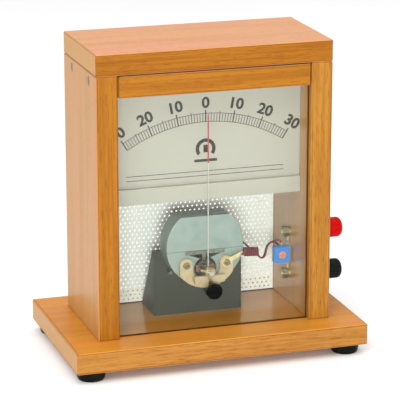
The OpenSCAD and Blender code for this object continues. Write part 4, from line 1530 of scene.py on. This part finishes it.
@dataclass
class Movement:
    """The bridges, the coil with its pointer, the hairsprings and the zero lever."""

    edge: float = 0.35
    front_spring: Hairspring = Hairspring(y=-26.5, turn=160.0, reach=7.6)
    rear_spring: Hairspring = Hairspring(y=4.7, turn=180.0, reach=7.2)

    def build(self) -> None:
        """Rounds the bridges, winds the springs and dresses every part."""
        cream = PaintFinish(
            "bridge_cream_paint", (0.50, 0.405, 0.265), (0.39, 0.295, 0.165), 0.35, 600.0, 0.00005,
            160.0,
        )
        steel = MetalFinish(
            "polished_steel", (0.56, 0.56, 0.52), (0.34, 0.34, 0.31), 0.30, 500.0, 0.3
        )
        alloy = MetalFinish(
            "light_alloy", (0.51, 0.505, 0.465), (0.44, 0.435, 0.40), 0.45, 500.0, 0.3, 0.3
        )
        brass = MetalFinish("worn_brass", (0.46, 0.41, 0.25), (0.26, 0.23, 0.13), 0.3, 350.0)
        bronze = MetalFinish(
            "bronzed_bridge_screw", (0.32, 0.25, 0.15), (0.14, 0.10, 0.06), 0.20, 500.0
        )
        copper = MetalFinish(
            "weight_copper_finish", (0.74, 0.34, 0.20), (0.42, 0.17, 0.10), 0.25, 500.0
        )
        spring = MetalFinish(
            "spring_bronze_finish", (0.32, 0.17, 0.09), (0.18, 0.09, 0.05), 0.28, 600.0
        )
        wire = CopperWireFinish("coil_wire", (0.46, 0.16, 0.07), (0.30, 0.09, 0.04))
        red = PlasticFinish("tip_lacquer", (0.46, 0.030, 0.065), (0.54, 0.08, 0.12), 0.45, 900.0)
        softened("front_bridge", "bridge_casting", self.edge, cream)
        softened("rear_bridge", "rear_bridge_casting", self.edge, cream)
        dress_nodes(
            steel, "front_jewel_screw", "rear_jewel_screw", "rear_bridge_screws", "front_shaft",
            "rear_shaft",
        )
        dress_nodes(bronze, "bridge_screws")
        dress_nodes(brass, "front_locknut", "zero_lever")
        dress_nodes(alloy, "pointer", "coil_former")
        dress_nodes(copper, "balance_weights")
        dress_nodes(wire, "coil_winding")
        dress_nodes(red, "pointer_tip")
        front = self.front_spring.build("front_spring_strip")
        rear = self.rear_spring.build("rear_spring_strip")
        settle(front, spring, "zero_lever", "front_hairspring")
        settle(rear, spring, "case", "rear_hairspring")


@dataclass
class ZeroAdjuster:
    """The slotted knob in the glass, its bush and its crank."""

    edge: float = 0.3

    def build(self) -> None:
        """Rounds the knob and dresses the parts round it."""
        black = PlasticFinish(
            "knob_black_bakelite", (0.002, 0.002, 0.002), (0.006, 0.006, 0.006), 0.24, 1600.0,
            gloss=0.06,
        )
        softened("zero_knob", "slotted_knob", self.edge, black, segments=3)
        dress_nodes(black, "zero_bush")
        dress_nodes(MetalFinish("bush_brass", (0.62, 0.52, 0.28), (0.36, 0.28, 0.14)), "zero_bush_nut")
        dress_nodes(MetalFinish("crank_steel", (0.66, 0.66, 0.64), (0.42, 0.41, 0.40)), "zero_crank")


# ---------- Terminals ----------


@dataclass
class Terminals:
    """Two screw terminals with fluted caps, collars and posts."""

    dome: float = 4.2
    bore: float = 3.3
    recess_r: float = 5.25
    recess: float = 6.0
    flutes: int = 18
    flute_r: float = 0.9
    flute_out: float = 0.35
    rim: float = 1.8
    stations: int = 12
    collar_hole_r: float = 2.03
    flange_r: float = 4.53
    flange_sink: float = 1.0

    def build(self) -> None:
        """Turns both caps and collars, and dresses the posts and nuts."""
        red = PlasticFinish(
            "cap_red_plastic", (0.45, 0.001, 0.001), (0.50, 0.004, 0.004), 0.2, gloss=0.07
        )
        black = PlasticFinish(
            "cap_black_plastic", (0.004, 0.006, 0.005), (0.009, 0.012, 0.010), 0.2, gloss=0.09
        )
        brass = MetalFinish(
            "terminal_brass", (0.83, 0.70, 0.42), (0.60, 0.46, 0.24), 0.22, 400.0, 0.4
        )
        olive = MetalFinish("nut_bronze", (0.38, 0.36, 0.23), (0.24, 0.22, 0.13), 0.40, 400.0)
        for name, finish in (("red", red), ("black", black)):
            cap = self._cap(name + "_fluted_cap", name + "_cap")
            settle(cap, finish, name + "_cap_grip", name + "_cap")
            collar = self._collar(name + "_turned_collar", name + "_collar")
            settle(collar, finish, "case", name + "_collar")
        dress_nodes(brass, "red_post", "black_post", "red_cap_insert", "black_cap_insert")
        dress_nodes(olive, "post_nuts")

    def _cap(self, name: str, node: str) -> bpy.types.Object:
        """A turned cap whose radius is cut back where a flute's circle passes through it.

        Args:
            name: The piece's name.
            node: The CAD node whose place and size it takes.

        Returns:
            The cap: at each angle its outline is the smaller of the turned shape and the flute.
        """
        low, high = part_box(node)
        length, radius = (high.x - low.x) / MM, (high.z - low.z) / 2 / MM
        bend = np.linspace(0.0, np.pi / 2, 12)
        dome_x = length - self.dome + self.dome * np.sin(bend)
        dome_r = radius - self.dome + self.dome * np.cos(bend)
        straight = np.linspace(self.rim, length - self.dome, 6)[:-1]
        # From the rim's rounded edge along the side and over the dome, then back inside the bore
        rim = [[0.0, radius - 0.5], [0.15, radius - 0.15], [0.5, radius], [self.rim - 0.25, radius]]
        outside = np.concatenate([
            rim, np.stack([straight, np.full_like(straight, radius)], -1),
            np.stack([dome_x, dome_r], -1),
        ])
        inside = np.array([
            [length, self.bore + 0.45], [length - 0.15, self.bore + 0.13],
            [length - 0.45, self.bore], [self.recess, self.bore], [self.recess, self.recess_r],
            [0.0, self.recess_r],
        ])
        profile = np.concatenate([outside, inside])
        steps = self.flutes * self.stations
        angle = np.linspace(0.0, 2 * np.pi, steps, endpoint=False)
        off = (angle * self.flutes / (2 * np.pi) + 0.5) % 1.0 - 0.5
        off = off * 2 * np.pi / self.flutes
        reach = radius + self.flute_out
        root = np.maximum(self.flute_r**2 - (reach * np.sin(off)) ** 2, 0.0)
        cut = np.where(root > 0, reach * np.cos(off) - np.sqrt(root), reach)
        place = np.arange(len(profile))
        fluted = (place >= len(rim)) & (place < len(outside))
        limit = np.where(fluted[None, :], cut[:, None], np.inf)
        rings = np.repeat(profile[None], steps, 0)
        rings[..., 1] = np.minimum(rings[..., 1], limit)
        return revolved(name, rings * MM, Axis.X, (low.x, 0.0, (low.z + high.z) / 2), steps)

    def _collar(self, name: str, node: str) -> bpy.types.Object:
        """A collar with rounded corners and a recess for the post's flange.

        Args:
            name: The piece's name.
            node: The CAD node whose place and size it takes.

        Returns:
            The collar.
        """
        low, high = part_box(node)
        wide, tall = high.x - low.x, (high.z - low.z) / 2
        hole, flange, sink = self.collar_hole_r * MM, self.flange_r * MM, self.flange_sink * MM
        profile = rounded_profile([
            (0.0, hole, 0.0), (0.0, tall, 0.0003), (wide * 0.75, tall, 0.0006),
            (wide, tall - 0.8 * MM, 0.0003), (wide, flange, 0.0), (wide - sink, flange, 0.0),
            (wide - sink, hole, 0.0),
        ])
        return revolved(name, profile, Axis.X, (low.x, 0.0, (low.z + high.z) / 2))


# ---------- Build ----------


def main() -> None:
    """Builds the studio and the leads first, then every sub-assembly."""
    logging.basicConfig(level=logging.INFO, format="%(name)s: %(message)s")
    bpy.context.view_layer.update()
    Studio().build()
    wiring = Wiring()
    wiring.build_leads()
    wiring.build()
    for part in (
        Case(), Window(), Dial(), PerforatedSheet(), Magnet(), Movement(), ZeroAdjuster(), Terminals()
    ):
        part.build()


if __name__ == "__main__":
    main()
